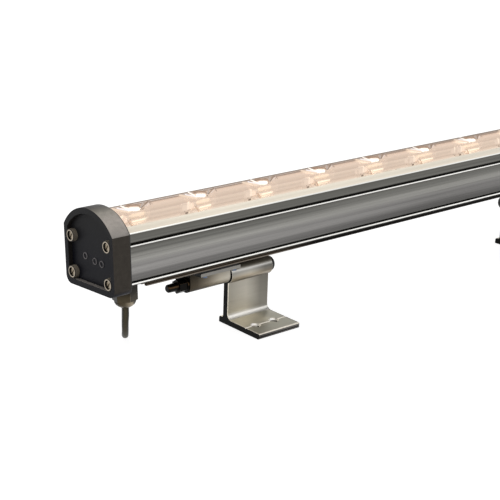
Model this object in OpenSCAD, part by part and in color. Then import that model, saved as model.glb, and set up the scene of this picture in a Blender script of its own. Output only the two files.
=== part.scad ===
/* [Fixture] */
// Overall length over both end caps
body_l = 600; // [400:10:1200]
// Width of an end cap, the widest part of the section
cap_w = 58; // [56:1:64]
// Height of an end cap from its flat underside to the crown of its arch
cap_h = 57.4; // [56:0.2:60]
// Height of the cap's straight sides, up to the crease where the arch starts
cap_side_h = 42; // [41.6:0.2:43]
// Thickness of an end cap along the fixture, without its gasket
cap_t = 13.8; // [12:0.2:18]
// Thickness of the gasket between an end cap and the extrusion
gasket_t = 1; // [0.6:0.1:1.5]
// Width of the aluminium extrusion
housing_w = 56.8; // [56:0.2:58]

/* [Light] */
// Number of light points, an even number
led_count = 10; // [6:2:18]
// Distance from one light point to the next
led_pitch = 58.5; // [50:0.5:62]
// Outer radius of the half round clear cover
cover_r = 31.9; // [31.6:0.1:32]
// Wall thickness of the clear cover
cover_t = 1.2; // [1:0.1:1.4]

/* [Mounting] */
// Distance from the end of the fixture to the middle of a bracket
bracket_inset = 139; // [120:1:180]
// Width of a bracket along the fixture
bracket_w = 39.5; // [30:0.5:45]
// Height of the tilt axis above the surface that the feet stand on
hinge_h = 39.7; // [38:0.1:60]
// Thickness of the bracket's web
web_t = 5; // [4:0.1:6]
// Thickness of the bracket's foot
foot_t = 4.5; // [4:0.1:6]
// Reach of the foot in front of the tilt axis
foot_reach = 39; // [36:1:60]
// Distance between the two bolt holes of a foot
foot_hole_pitch = 18; // [16:0.2:20]
// Radius of a bolt hole in a foot
foot_hole_r = 2.75; // [2:0.05:3]
// Outer radius of the bracket's knuckle
knuckle_r = 7.2; // [6.8:0.1:7.4]
// How far the fixture leans back on its feet as drawn, in degrees
lean = 4; // [0:1:10]

/* [Lead] */
// Diameter of the power lead
lead_d = 4.8; // [4:0.1:5]
// Distance from the end of the fixture to the cable gland's axis
gland_inset = 28.2; // [26:0.2:30]

/* [Hidden] */
$fn = 96;

// The fixture's own frame has its zero height at the flat underside of the end caps
hinge_drop = 12.7;
half_l = body_l / 2;
cap_r = cap_w / 2;
// Frame: the middle of the length, the middle of the depth, and the surface under the feet
back_reach = cap_r * cos(lean) + (cap_side_h + hinge_drop) * sin(lean);
hinge_y = (foot_reach - back_reach) / 2;
cap_corner = 6;
arch_rise = cap_h - cap_side_h;
arch_r = (cap_r * cap_r + arch_rise * arch_rise) / (2 * arch_rise);
arch_z = cap_h - arch_r;
cap_rim = 4.2;
cap_recess = 3.2;
cap_pocket = 6;
cap_wall = 5;
cap_boss_r = 4.5;
screw_y = 21.5;
screw_z = [8.8, 34.7];
port_r = 1.55;
cap_screw_r = 1.5;
cap_screw_head_r = 2.75;
cap_screw_head_h = 2;
cap_screw_sink = 0.8;
cap_screw_l = 24;
cup_in_r = 3.2;
cup_r = 3.5;
cup_rim_r = 4.1;
cup_rim_t = 0.3;
mark_places = [[8.5, 22.3], [-2.7, 20.6], [-10.8, 20.2]];
mark_r = [1.8, 2.4];
mark_h = 0.5;
slot_w = 0.9;
slot_depth = 0.9;

housing_r = housing_w / 2;
housing_l = body_l - 2 * (cap_t + gasket_t);
housing_x = -housing_l / 2;
rail_r = 18;
rail_top = 6.4;
rail_left_cut = 19.3;
rail_right_cut = 8;
slot_y = 14;
slot_mouth_w = 3;
slot_mouth_h = 1.6;
slot_cavity_w = 5.4;
slot_cavity_h = 2.7;
plinth_top = 8.4;
plinth_chamfer = 1.4;
panel_z0 = 9.6;
panel_z1 = 33;
panel_chamfer = 1.1;
groove_depth = 3;
band_z0 = 36;
band_z1 = 42;
strip_y = 21.9;
strip_z = 45.4;
rib_count = 6;
rib_depth = 0.2;
rib_w = 1.4;
led_plate_z = [28, 33];
chamber_r = 17.5;
shelf_z = 39.4;
seat_r = 23.2;
fit_gap = 0.12;
driver_room = [22, 9.5, 28];

cover_z = 21.7;
cover_in_r = cover_r - cover_t;
cover_edge = 22.9;

pad_t = 0.4;
board_t = 1.6;
board_r = 15;
board_z = led_plate_z[1] + pad_t;
board_top = board_z + board_t;
board_gap = 0.8;
// The row of light points stands a little off the middle, away from the end with the gland
led_shift = 1.8;
led_xs = [for (i = [0 : led_count - 1]) (i - (led_count - 1) / 2) * led_pitch + led_shift];
board_screw_xs = [for (i = [0 : led_count / 2 - 2]) (i + 1 - led_count / 2) * led_pitch];
optic_r0 = 4.6;
optic_r1 = 11.4;
optic_z0 = board_top + 1;
optic_rim_z = cover_z + sqrt(cover_in_r * cover_in_r - optic_r1 * optic_r1) - 0.35;
optic_crown_z = cover_z + cover_in_r - 0.5;
holder_r = 9.2;
holder_h = 5;
holder_leg_w = 2.2;
post_x = [-20, -13.4];
post_y = [-4, -2];
post_z = 47.6;

gland_x = gland_inset - half_l;
gland_thread_r = 5.95;
gland_nut_r = 9.1;
gland_dome_r = 7.8;
gland_hex_z = [0.9, 5.4];
gland_nut_z = [-12.4, 0.8];
gland_tip_z = -17.6;
gland_mouth_r = 3.4;
gland_seal_r = 3.3;
lead_r = lead_d / 2;

driver_l = 210;
driver_r = 17;
driver_x = -245;
driver_z = 14;
standoff_r = 2.6;
standoff_inset = [6, 13.5];
terminal_l = 12;
// Where the driver's wires come up through the plate to the left board
riser_x = -13;
riser_r = 3.4;
terminal_out_x = driver_x + driver_l - 14 - 4;
tail_z = 13.5;

knuckle_gap = 1.2;
base_l = 37.2;
base_r = 6.3;
base_rear = 11.8;
washer_r = 5.6;
plate_t = 2.5;
plate_top = -1.4;
plate_l = 36.7;
plate_gap = 1.1;
pivot_r = 3;
pivot_gap = 0.05;
bolt_hex_l = 8;
bolt_hex_af = 9.4;
bolt_nose_l = 8.4;
bolt_nose_r = [3, 3.3];
end_nut_l = 4.8;
end_nut_r = 5.8;
clamp_screw_pitch = 27;
clamp_screw_shift = 1.8;
clamp_screw_r = 1.25;
clamp_head_r = 1.8;
clamp_head_h = 2;
web_fillet = 4.6;
heel_reach = 7;
heel_h = 5;
groove_y = 23.7;
foot_hole_shift = -1;
sink_r = 4;

// Turns a place in the fixture's own frame into one in the frame of the feet
function on_feet(p) = [
    p[0],
    hinge_y + p[1] * cos(lean) + (p[2] + hinge_drop) * sin(lean),
    hinge_h - p[1] * sin(lean) + (p[2] + hinge_drop) * cos(lean)
];

// The lead leaves the gland, drops to the surface and runs back to lie behind the fixture
lead_exit = on_feet([gland_x, 0, gland_tip_z]);
lead_start = on_feet([gland_x, 0, gland_tip_z - 5]);
lead_route = concat([lead_exit, lead_start], [
    [-271, 4, 22],
    [-268.5, 7.5, 14.5],
    [-265, 12.5, 9],
    [-261.5, 17.5, 6.2],
    [-257, 24, 4],
    [-251.5, 31.5, 2.9],
    [-246, 39.5, 2.6],
    [-240, 48, 2.6],
    [-234, 56.5, 2.6],
    [-228, 65, 2.6],
    [-222, 73.5, 2.6],
    [-216, 82, 2.6],
    [-210, 90.5, 2.6],
    [-204, 98.5, 2.6],
    [-197, 105.5, 2.6],
    [-188.5, 110, 2.6],
    [-178.5, 112, 2.6],
    [-168, 112.5, 2.6],
    [-157, 112, 2.6],
    [-146, 111.5, 2.6],
    [-135, 111.5, 2.6],
    [-124, 112, 2.6],
    [-113, 112.5, 2.8],
    [-102.5, 112.5, 4],
    [-92.5, 112, 6],
    [-83.5, 112, 7.2],
    [-75.5, 112, 7.5],
    [-68, 112, 7.5]
]);
lead_sides = 10;
plug_at = lead_route[len(lead_route) - 1];
plug_boot_l = 16;
plug_shell_l = 26;
plug_shell_r = 6.2;
plug_nut_l = 15;
plug_nut_r = 7.2;
plug_tip = plug_boot_l + plug_shell_l;

// Places a piece that belongs to the fixture, drawn in the fixture's own frame
module on_fixture() {
    translate([0, hinge_y, hinge_h])
        rotate([-lean, 0, 0])
            translate([0, 0, hinge_drop])
                children();
}

// Extrudes a section, drawn in depth and height, along the fixture
module along_x(x, l) {
    translate([x, 0, 0])
        rotate([90, 0, 90])
            linear_extrude(height = l)
                children();
}

// A round bar along the fixture
module bar_x(x, l, r) {
    translate([x, 0, 0])
        rotate([0, 90, 0])
            cylinder(h = l, r = r);
}

// Repeats a piece at the four places where the cap screws go
module at_cap_screws() {
    for (side = [-1, 1])
        for (z = screw_z)
            translate([0, side * screw_y, z])
                children();
}

// Unit vector from one point to the next
function heading(a, b) = (b - a) / norm(b - a);

// Direction of a route at point i
function route_heading(p, i) =
    i == 0 ? heading(p[0], p[1])
    : i == len(p) - 1 ? heading(p[i - 1], p[i])
    : heading(p[i - 1], p[i + 1]);

// First crosswise direction at point i, carried along the route so that the tube doesn't twist
function route_side(p, i) =
    let (
        h = route_heading(p, i),
        s = i == 0 ? [1, 0, 0] : route_side(p, i - 1),
        flat = s - (s * h) * h
    )
    flat / norm(flat);

// Points of the ring round point i of a route
function route_ring(p, i, r, sides) =
    let (s = route_side(p, i), u = cross(route_heading(p, i), s))
    [for (k = [0 : sides - 1]) p[i] + r * (cos(k * 360 / sides) * s + sin(k * 360 / sides) * u)];

// A tube of constant radius along a route, closed at both ends
module tube(p, r, sides) {
    n = len(p);
    points = [for (i = [0 : n - 1]) each route_ring(p, i, r, sides)];
    walls = [
        for (i = [0 : n - 2])
            for (k = [0 : sides - 1])
                let (a = i * sides + k, b = i * sides + (k + 1) % sides)
                each [[a, b, a + sides], [b, b + sides, a + sides]]
    ];
    first_end = [for (k = [1 : sides - 2]) [0, k + 1, k]];
    last = (n - 1) * sides;
    last_end = [for (k = [1 : sides - 2]) [last, last + k, last + k + 1]];
    polyhedron(points = points, faces = concat(walls, first_end, last_end), convexity = 4);
}

// Height just under the clear cover's inner face at a distance from the fixture's middle plane
function under_cover(y, gap) = cover_z + sqrt(cover_in_r * cover_in_r - y * y) - gap;

// Outline of an end cap, drawn in by an inset
module cap_outline(inset) {
    r = cap_r - inset;
    corner = cap_corner - min(inset, cap_corner - 1);
    intersection() {
        translate([0, arch_z])
            circle(r = arch_r - inset);
        translate([-r, inset + corner])
            square([2 * r, cap_h]);
    }
    translate([-r + corner, inset])
        square([2 * (r - corner), cap_corner]);
    for (side = [-1, 1])
        translate([side * (r - corner), inset + corner])
            circle(r = corner);
}

// One side of the extrusion's outline, from the rail's corner up to the inner edge of the sloping strip
function rail_points() = [
    [rail_r - 0.2, 0], [rail_r, 0.2],
    for (z = [1.4, 3, 4.6]) each [[rail_r, z - 0.4], [rail_r - 0.4, z], [rail_r, z + 0.4]],
    [rail_r, rail_top]
];
function plinth_points() = [
    [housing_r - 0.7, rail_top], [housing_r, plinth_top - plinth_chamfer],
    [housing_r - plinth_chamfer, plinth_top], [housing_r - groove_depth, plinth_top],
    [housing_r - groove_depth, panel_z0], [housing_r - 0.3, panel_z0], [housing_r, panel_z0 + 0.3]
];
rib_step = (panel_z1 - panel_z0) / (rib_count + 1);
function panel_points() = [
    for (i = [1 : rib_count])
        let (z = panel_z0 + i * rib_step)
        each [[housing_r, z - rib_w / 2], [housing_r - rib_depth, z], [housing_r, z + rib_w / 2]]
];
function band_points() = [
    [housing_r, panel_z1], [housing_r - panel_chamfer, panel_z1 + panel_chamfer],
    [housing_r - groove_depth, panel_z1 + panel_chamfer], [housing_r - groove_depth, band_z0],
    [housing_r - 0.25, band_z0], [housing_r, band_z0 + 0.25],
    [housing_r, band_z1], [housing_r - 0.5, band_z1 + 0.5], [strip_y, strip_z]
];
half_outline = concat(rail_points(), plinth_points(), panel_points(), band_points());
half_count = len(half_outline);
full_outline = concat(
    half_outline,
    [for (i = [half_count - 1 : -1 : 0]) [-half_outline[i][0], half_outline[i][1]]]
);

// The two slots under the rail, which hold the clamps' nuts
module rail_slots() {
    for (side = [-1, 1])
        translate([side * slot_y, 0]) {
            translate([-slot_mouth_w / 2, -1])
                square([slot_mouth_w, slot_mouth_h + 1.1]);
            translate([-slot_cavity_w / 2, slot_mouth_h])
                square([slot_cavity_w, slot_cavity_h]);
        }
}

// Section of the extrusion: rail, ribbed sides, driver room, plate for the light points and the cover's seat
module housing_section() {
    difference() {
        polygon(full_outline);
        intersection() {
            translate([0, cover_z])
                circle(r = cover_r + fit_gap);
            translate([-seat_r, shelf_z])
                square([2 * seat_r, cap_h]);
        }
        polygon([
            [-chamber_r, led_plate_z[1]], [chamber_r, led_plate_z[1]],
            [chamber_r, shelf_z - 2], [chamber_r + 2, shelf_z], [chamber_r + 2, shelf_z + 0.1],
            [-chamber_r - 2, shelf_z + 0.1], [-chamber_r - 2, shelf_z], [-chamber_r, shelf_z - 2]
        ]);
        polygon([
            [-driver_room[0] + 5, driver_room[1]], [driver_room[0] - 5, driver_room[1]],
            [driver_room[0] - 5, driver_room[1] + 3], [driver_room[0], driver_room[1] + 6],
            [driver_room[0], driver_room[2] - 2], [driver_room[0] - 3, driver_room[2]],
            [-driver_room[0] + 3, driver_room[2]], [-driver_room[0], driver_room[2] - 2],
            [-driver_room[0], driver_room[1] + 6], [-driver_room[0] + 5, driver_room[1] + 3]
        ]);
        rail_slots();
        for (side = [-1, 1])
            for (z = screw_z)
                translate([side * screw_y, z])
                    circle(r = port_r);
    }
}

module housing() {
    color([0.56, 0.55, 0.52])
        on_fixture()
            difference() {
                along_x(housing_x, housing_l)
                    housing_section();
                translate([housing_x - 1, -rail_r - 1, -1])
                    cube([rail_left_cut + 1, 2 * rail_r + 2, rail_top + 1]);
                translate([-housing_x - rail_right_cut, -rail_r - 1, -1])
                    cube([rail_right_cut + 1, 2 * rail_r + 2, rail_top + 1]);
                translate([gland_x, 0, rail_top - 1])
                    cylinder(h = 6, r = gland_thread_r + 0.05);
                translate([gland_x, 0, -1])
                    cylinder(h = rail_top + 1, r = gland_nut_r + 1.1);
                translate([riser_x, 0, led_plate_z[0] - 1])
                    cylinder(h = 8, r = riser_r);
                for (x = board_screw_xs)
                    for (side = [-1, 1])
                        translate([side * x, 0, led_plate_z[0] + 1])
                            cylinder(h = 6, r = 1.3);
                for (x = [driver_x + standoff_inset[0], driver_x + driver_l - standoff_inset[0]])
                    for (y = [-1, 1])
                        translate([x, y * standoff_inset[1], driver_room[1] - 1.8])
                            cylinder(h = 4, r = 1.2);
            }
}

module lens_cover() {
    color([0.93, 0.84, 0.76, 0.5])
        on_fixture()
            along_x(housing_x, housing_l)
                intersection() {
                    translate([0, cover_z])
                        difference() {
                            circle(r = cover_r);
                            circle(r = cover_in_r);
                        }
                    translate([-cover_edge, shelf_z + 0.1])
                        square([2 * cover_edge, cap_h]);
                }
}

// Long wedge of clear silicone that seals one edge of the cover
module lens_seal(side) {
    color([0.82, 0.79, 0.73])
        on_fixture()
            along_x(housing_x, housing_l)
                polygon([
                    [side * 20.9, shelf_z], [side * 22.6, shelf_z],
                    [side * 22.6, under_cover(22.6, 0.1)], [side * 21.8, under_cover(21.8, 0.1)],
                    [side * 20.9, under_cover(20.9, 0.1)]
                ]);
}

module front_lens_seal() {
    lens_seal(-1);
}

module rear_lens_seal() {
    lens_seal(1);
}

// End cap for the left end: dished face, four screw bosses and a pocket on the inside
module end_cap() {
    color([0.17, 0.17, 0.18])
        on_fixture()
            difference() {
                along_x(-half_l, cap_t)
                    cap_outline(0);
                difference() {
                    along_x(-half_l - 1, cap_recess + 1)
                        cap_outline(cap_rim);
                    at_cap_screws()
                        bar_x(-half_l - 2, cap_recess + 3, cap_boss_r);
                }
                difference() {
                    along_x(-half_l + cap_t - cap_pocket, cap_pocket + 1)
                        cap_outline(cap_wall);
                    at_cap_screws()
                        bar_x(-half_l, cap_t + 2, cap_boss_r);
                }
                at_cap_screws() {
                    bar_x(-half_l - 1, cap_t + 2, cap_screw_r + 0.2);
                    bar_x(-half_l - 1, cap_screw_sink + cap_screw_head_h + 1.4, cup_r + 0.05);
                }
            }
}

// Three rings that stand up from the dished face
module cap_marks() {
    color([0.17, 0.17, 0.18])
        on_fixture()
            for (p = mark_places)
                translate([-half_l + cap_recess - mark_h, p[0], p[1]])
                    difference() {
                        bar_x(0, mark_h + 0.3, mark_r[1]);
                        bar_x(-1, mark_h + 2, mark_r[0]);
                    }
}

module left_end_cap() {
    end_cap();
    cap_marks();
}

module right_end_cap() {
    mirror([1, 0, 0]) {
        end_cap();
        cap_marks();
    }
}

module cap_gasket() {
    color([0.09, 0.09, 0.1])
        on_fixture()
            difference() {
                along_x(-half_l + cap_t, gasket_t)
                    cap_outline(0.6);
                difference() {
                    along_x(-half_l + cap_t - 1, gasket_t + 2)
                        cap_outline(cap_wall + 1);
                    at_cap_screws()
                        bar_x(-half_l, cap_t + 5, cap_boss_r);
                }
                at_cap_screws()
                    bar_x(-half_l, cap_t + 5, cap_screw_r + 0.1);
            }
}

module left_cap_gasket() {
    cap_gasket();
}

module right_cap_gasket() {
    mirror([1, 0, 0])
        cap_gasket();
}

// Four slotted cheese head screws of one cap, each in a cup washer with a bright rim
module cap_screws() {
    color([0.72, 0.69, 0.62])
        on_fixture()
            at_cap_screws() {
                difference() {
                    union() {
                        bar_x(-half_l + cap_screw_sink, cap_screw_head_h, cap_screw_head_r);
                        bar_x(-half_l + cap_screw_sink, cap_screw_l, cap_screw_r);
                        bar_x(-half_l + cap_screw_sink + cap_screw_head_h - 0.05, 0.4, cup_in_r + 0.1);
                    }
                    rotate([35, 0, 0])
                        translate([-half_l, -slot_w / 2, -cap_screw_head_r - 1])
                            cube([cap_screw_sink + slot_depth, slot_w, 2 * cap_screw_head_r + 2]);
                }
                difference() {
                    union() {
                        bar_x(-half_l - cup_rim_t, cup_rim_t, cup_rim_r);
                        bar_x(-half_l - 0.1, cap_screw_sink + cap_screw_head_h + 0.45, cup_r);
                    }
                    bar_x(-half_l - 1, 6, cup_in_r);
                }
            }
}

module left_cap_screws() {
    cap_screws();
}

module right_cap_screws() {
    mirror([1, 0, 0])
        cap_screws();
}

module thermal_pad() {
    color([0.55, 0.62, 0.66])
        on_fixture()
            difference() {
                translate([housing_x + 2, -board_r, led_plate_z[1]])
                    cube([housing_l - 4, 2 * board_r, pad_t]);
                for (x = board_screw_xs)
                    for (side = [-1, 1])
                        translate([side * x, 0, led_plate_z[1] - 1])
                            cylinder(h = 3, r = 1.8);
                translate([riser_x, 0, led_plate_z[1] - 1])
                    cylinder(h = 3, r = riser_r);
            }
}

// Metal core board with half of the light points
module led_board(side) {
    color([0.9, 0.9, 0.86])
        on_fixture()
            difference() {
                translate([side > 0 ? board_gap / 2 : housing_x + 2, -board_r, board_z])
                    cube([housing_l / 2 - 2 - board_gap / 2, 2 * board_r, board_t]);
                for (x = board_screw_xs)
                    translate([-side * x, 0, board_z - 1])
                        cylinder(h = board_t + 2, r = 1.7);
                translate([riser_x, 0, board_z - 1])
                    cylinder(h = board_t + 2, r = riser_r - 0.4);
            }
}

module left_led_board() {
    led_board(-1);
}

module right_led_board() {
    led_board(1);
}

// Light emitting packages with their small clear domes
module leds() {
    color([1, 0.9, 0.6])
        on_fixture()
            for (x = led_xs)
                translate([x, 0, board_top]) {
                    translate([-1.75, -1.75, 0])
                        cube([3.5, 3.5, 0.8]);
                    translate([0, 0, 0.7])
                        cylinder(h = 0.9, r1 = 1.5, r2 = 0.9);
                }
}

// Collimators: a clear cone with a well for the light source in its narrow end
module optic_lenses() {
    color([0.98, 0.93, 0.85, 0.6])
        on_fixture()
            for (x = led_xs)
                translate([x, 0, 0])
                    rotate_extrude()
                        polygon([
                            [2.4, optic_z0], [optic_r0, optic_z0], [6.2, optic_z0 + 4], [7, optic_z0 + 4.5],
                            [9, optic_z0 + 6], [10.3, optic_z0 + 8], [11, optic_z0 + 10],
                            [optic_r1, optic_rim_z - 1.2], [optic_r1, optic_rim_z],
                            [4.2, optic_rim_z], [4, optic_crown_z - 1.1], [3.5, optic_crown_z - 0.5],
                            [2.4, optic_crown_z - 0.1], [1.2, optic_crown_z],
                            [0, optic_crown_z], [0, optic_z0 + 4.6], [1.9, optic_z0 + 4.4]
                        ]);
}

// Carriers that hold the collimators over the light sources: a ring on four legs, with a clip post beside it
module optic_holders() {
    color([0.95, 0.92, 0.86])
        on_fixture()
            for (x = led_xs)
                translate([x, 0, board_top])
                    difference() {
                        union() {
                            cylinder(h = 1, r = holder_r);
                            translate([0, 0, holder_h - 1.2])
                                cylinder(h = 1.2, r = holder_r);
                            for (a = [45, 135, 225, 315])
                                rotate([0, 0, a])
                                    translate([holder_r - 1.8, -holder_leg_w / 2, 0])
                                        cube([1.8, holder_leg_w, holder_h]);
                            translate([post_x[0], post_y[0], 0])
                                cube([post_x[1] - post_x[0] + 5.5, post_y[1] - post_y[0], 1]);
                            translate([post_x[0], post_y[0], 0])
                                cube([post_x[1] - post_x[0], post_y[1] - post_y[0], post_z - board_top]);
                        }
                        translate([0, 0, -1])
                            cylinder(h = holder_h + 2, r = 7.15);
                    }
}

// White tray that hides the boards; its tall rear wall follows the cover and throws stray light forwards
module light_tray() {
    color([0.93, 0.88, 0.8])
        on_fixture()
            difference() {
                along_x(housing_x + 3, housing_l - 6)
                    polygon([
                        [-16.6, board_top + 0.2], [16.6, board_top + 0.2], [16.6, 37.4], [18.9, 39.7],
                        [20.6, 39.7], [20.6, under_cover(20.6, 0.4)], [18.8, under_cover(18.8, 0.4)],
                        [17.4, under_cover(17.4, 0.4)], [15.4, under_cover(15.4, 0.4)], [13, under_cover(13, 0.4)],
                        [12.8, under_cover(13, 0.9)], [15.2, under_cover(15.4, 0.9)], [17.2, under_cover(17.4, 0.9)],
                        [18.6, under_cover(18.8, 0.9)], [19.9, under_cover(20.6, 0.7)], [19.9, 40.4],
                        [18.6, 40.4], [15.9, 37.7], [15.9, board_top + 1],
                        [-15.9, board_top + 1], [-15.9, 37.7], [-18.6, 40.4], [-19.9, 40.4],
                        [-19.9, 42.9], [-20.6, 42.9], [-20.6, 39.7], [-18.9, 39.7], [-16.6, 37.4]
                    ]);
                for (x = led_xs)
                    translate([x, 0, board_top - 1])
                        cylinder(h = 4, r = holder_r + 0.25);
                for (x = led_xs)
                    translate([x + post_x[0] - 0.3, post_y[0] - 0.3, board_top - 1])
                        cube([12, post_y[1] - post_y[0] + 0.6, 4]);
                for (x = board_screw_xs)
                    for (side = [-1, 1])
                        translate([side * x, 0, board_top - 1])
                            cylinder(h = 4, r = 3);
                translate([riser_x - 5.6, -5.5, board_top - 1])
                    cube([9 - riser_x + 5.6, 11, 4]);
            }
}

module board_screws() {
    color([0.75, 0.75, 0.74])
        on_fixture()
            for (x = board_screw_xs)
                for (side = [-1, 1])
                    translate([side * x, 0, 0]) {
                        translate([0, 0, board_top])
                            cylinder(h = 1.6, r = 2.6);
                        translate([0, 0, led_plate_z[0] + 1.2])
                            cylinder(h = board_top - led_plate_z[0] - 1, r = 1.25);
                    }
}

// Wire sockets: two beside the join between the boards, and one where the driver's wires come up
module board_plugs() {
    color([0.96, 0.95, 0.9])
        on_fixture()
            for (x = [-5, 5, riser_x])
                translate([x - (x == riser_x ? 4 : 2.5), -4, board_top])
                    cube([x == riser_x ? 8 : 5, 8, 3.2]);
}

// Wires that carry the current from one board to the other
module board_link() {
    color([0.75, 0.12, 0.1])
        on_fixture()
            for (y = [-2, 2])
                translate([0, y, board_top + 1.8])
                    bar_x(-2.5, 5, 0.7);
}

module driver_board() {
    color([0.1, 0.32, 0.18])
        on_fixture()
            difference() {
                translate([driver_x, -driver_r, driver_z])
                    cube([driver_l, 2 * driver_r, board_t]);
                for (x = [driver_x + standoff_inset[0], driver_x + driver_l - standoff_inset[0]])
                    for (y = [-1, 1])
                        translate([x, y * standoff_inset[1], driver_z - 1])
                            cylinder(h = board_t + 2, r = 1.4);
            }
}

module driver_capacitors() {
    color([0.12, 0.12, 0.2])
        on_fixture()
            for (p = [[40, -8], [56, -8], [150, 8]])
                translate([driver_x + p[0], p[1], driver_z + board_t + 5.1])
                    bar_x(0, 13, 5);
}

module driver_coils() {
    color([0.6, 0.32, 0.14])
        on_fixture()
            for (x = [34, 104, 126])
                translate([driver_x + x, 8, driver_z + board_t]) {
                    difference() {
                        cylinder(h = 6, r = 7.5);
                        translate([0, 0, -1])
                            cylinder(h = 8, r = 3);
                    }
                }
}

module driver_chips() {
    color([0.08, 0.08, 0.08])
        on_fixture()
            for (p = [[78, -4, 10, 8], [96, -11, 6, 5], [116, -11, 6, 5], [140, -10, 9, 9], [172, -6, 7, 10]])
                translate([driver_x + p[0], p[1], driver_z + board_t])
                    cube([p[2], p[3], 1.8]);
}

module driver_terminals() {
    color([0.15, 0.45, 0.2])
        on_fixture()
            for (x = [14, driver_l - 14 - terminal_l])
                translate([driver_x + x, -7.5, driver_z + board_t])
                    cube([terminal_l - 4, 15, 8]);
}

// Pillars that carry the driver board
module driver_standoffs() {
    color([0.8, 0.78, 0.7])
        on_fixture()
            for (x = [driver_x + standoff_inset[0], driver_x + driver_l - standoff_inset[0]])
                for (y = [-1, 1])
                    translate([x, y * standoff_inset[1], driver_room[1]])
                        difference() {
                            cylinder(h = driver_z - driver_room[1], r = standoff_r);
                            translate([0, 0, -1])
                                cylinder(h = 10, r = 1.25);
                        }
}

module driver_screws() {
    color([0.75, 0.75, 0.74])
        on_fixture()
            for (x = [driver_x + standoff_inset[0], driver_x + driver_l - standoff_inset[0]])
                for (y = [-1, 1])
                    translate([x, y * standoff_inset[1], 0]) {
                        translate([0, 0, driver_z + board_t])
                            cylinder(h = 1.8, r = 2.4);
                        translate([0, 0, driver_room[1] - 1.6])
                            cylinder(h = driver_z + board_t + 1.7 - driver_room[1], r = 1.15);
                    }
}

// Two wires from the driver's output terminals up to the boards
module driver_output_wires() {
    color([0.8, 0.75, 0.7])
        on_fixture()
            for (y = [-1.2, 1.2])
                translate([riser_x, y, 0]) {
                    translate([0, 0, driver_z + board_t + 4])
                        bar_x(terminal_out_x - riser_x, riser_x - 3 - terminal_out_x, 0.8);
                    translate([-3, 0, driver_z + board_t + 7])
                        rotate([90, 0, 0])
                            rotate([0, 0, -90])
                                rotate_extrude(angle = 90)
                                    translate([3, 0])
                                        circle(r = 0.8);
                    translate([0, 0, driver_z + board_t + 7])
                        cylinder(h = board_top - driver_z - board_t - 7, r = 0.8);
                }
}

// Tail of the lead inside the gland, and its wires to the driver's input terminals
module driver_input_wires() {
    color([0.12, 0.12, 0.13])
        on_fixture() {
            translate([gland_x, 0, gland_tip_z])
                cylinder(h = tail_z - gland_tip_z, r = lead_r);
            for (y = [-1.2, 1.2])
                translate([gland_x, y, tail_z]) {
                    cylinder(h = 2.6, r = 0.8);
                    translate([3, 0, 2.6])
                        rotate([90, 0, 0])
                            rotate([0, 0, 90])
                                rotate_extrude(angle = 90)
                                    translate([3, 0])
                                        circle(r = 0.8);
                    translate([3, 0, 5.6])
                        bar_x(0, driver_x + 14 - gland_x - 3, 0.8);
                }
        }
}

module gland_body() {
    color([0.5, 0.46, 0.4])
        on_fixture()
            translate([gland_x, 0, 0])
                difference() {
                    union() {
                        translate([0, 0, gland_hex_z[0]])
                            cylinder(h = gland_hex_z[1] - gland_hex_z[0], r = 8.2, $fn = 6);
                        translate([0, 0, gland_hex_z[1] - 1])
                            cylinder(h = 9, r = gland_thread_r);
                        translate([0, 0, -9])
                            cylinder(h = 10.5, r = gland_thread_r - 0.4);
                    }
                    translate([0, 0, -10])
                        cylinder(h = 26, r = gland_seal_r + 0.6);
                }
}

module gland_o_ring() {
    color([0.08, 0.08, 0.08])
        on_fixture()
            translate([gland_x, 0, gland_hex_z[1]])
                difference() {
                    cylinder(h = rail_top - gland_hex_z[1], r = 7.6);
                    translate([0, 0, -1])
                        cylinder(h = 4, r = gland_thread_r + 0.05);
                }
}

module gland_locknut() {
    color([0.5, 0.46, 0.4])
        on_fixture()
            translate([gland_x, 0, driver_room[1]])
                difference() {
                    cylinder(h = 3, r = 8, $fn = 6);
                    translate([0, 0, -1])
                        cylinder(h = 5, r = gland_thread_r + 0.05);
                }
}

// Rubber sleeve that the nut squeezes round the lead
module gland_seal() {
    color([0.06, 0.06, 0.06])
        on_fixture()
            translate([gland_x, 0, -11])
                difference() {
                    cylinder(h = 11, r = gland_seal_r + 0.5);
                    translate([0, 0, -1])
                        cylinder(h = 13, r = lead_r + 0.02);
                }
}

// Nut of the gland: hexagon above, dome below
module gland_nut() {
    color([0.5, 0.46, 0.4])
        on_fixture()
            translate([gland_x, 0, 0])
                difference() {
                    union() {
                        translate([0, 0, gland_nut_z[0]])
                            rotate([0, 0, 18.8])
                                cylinder(h = gland_nut_z[1] - gland_nut_z[0], r = gland_nut_r, $fn = 6);
                        rotate_extrude()
                            polygon([
                                [0, gland_nut_z[0] + 1], [gland_dome_r, gland_nut_z[0] + 1],
                                [gland_dome_r, gland_nut_z[0] - 0.5], [gland_dome_r - 0.3, gland_nut_z[0] - 1.8],
                                [gland_dome_r - 1.1, gland_nut_z[0] - 3.1], [gland_dome_r - 2.4, gland_nut_z[0] - 4.2],
                                [gland_mouth_r + 0.3, gland_tip_z], [0, gland_tip_z]
                            ]);
                    }
                    translate([0, 0, gland_tip_z - 1])
                        cylinder(h = 20, r = lead_r + 0.05);
                    translate([0, 0, -11.2])
                        cylinder(h = 20, r = gland_thread_r);
                }
}

module power_lead() {
    color([0.1, 0.1, 0.11])
        tube(lead_route, lead_r, lead_sides);
}

// Tapered sleeve where the lead enters the plug
module plug_boot() {
    color([0.1, 0.1, 0.1])
        translate(plug_at)
            rotate([0, 90, 0])
                cylinder(h = plug_boot_l, r1 = lead_r + 0.6, r2 = plug_shell_r - 1);
}

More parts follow.
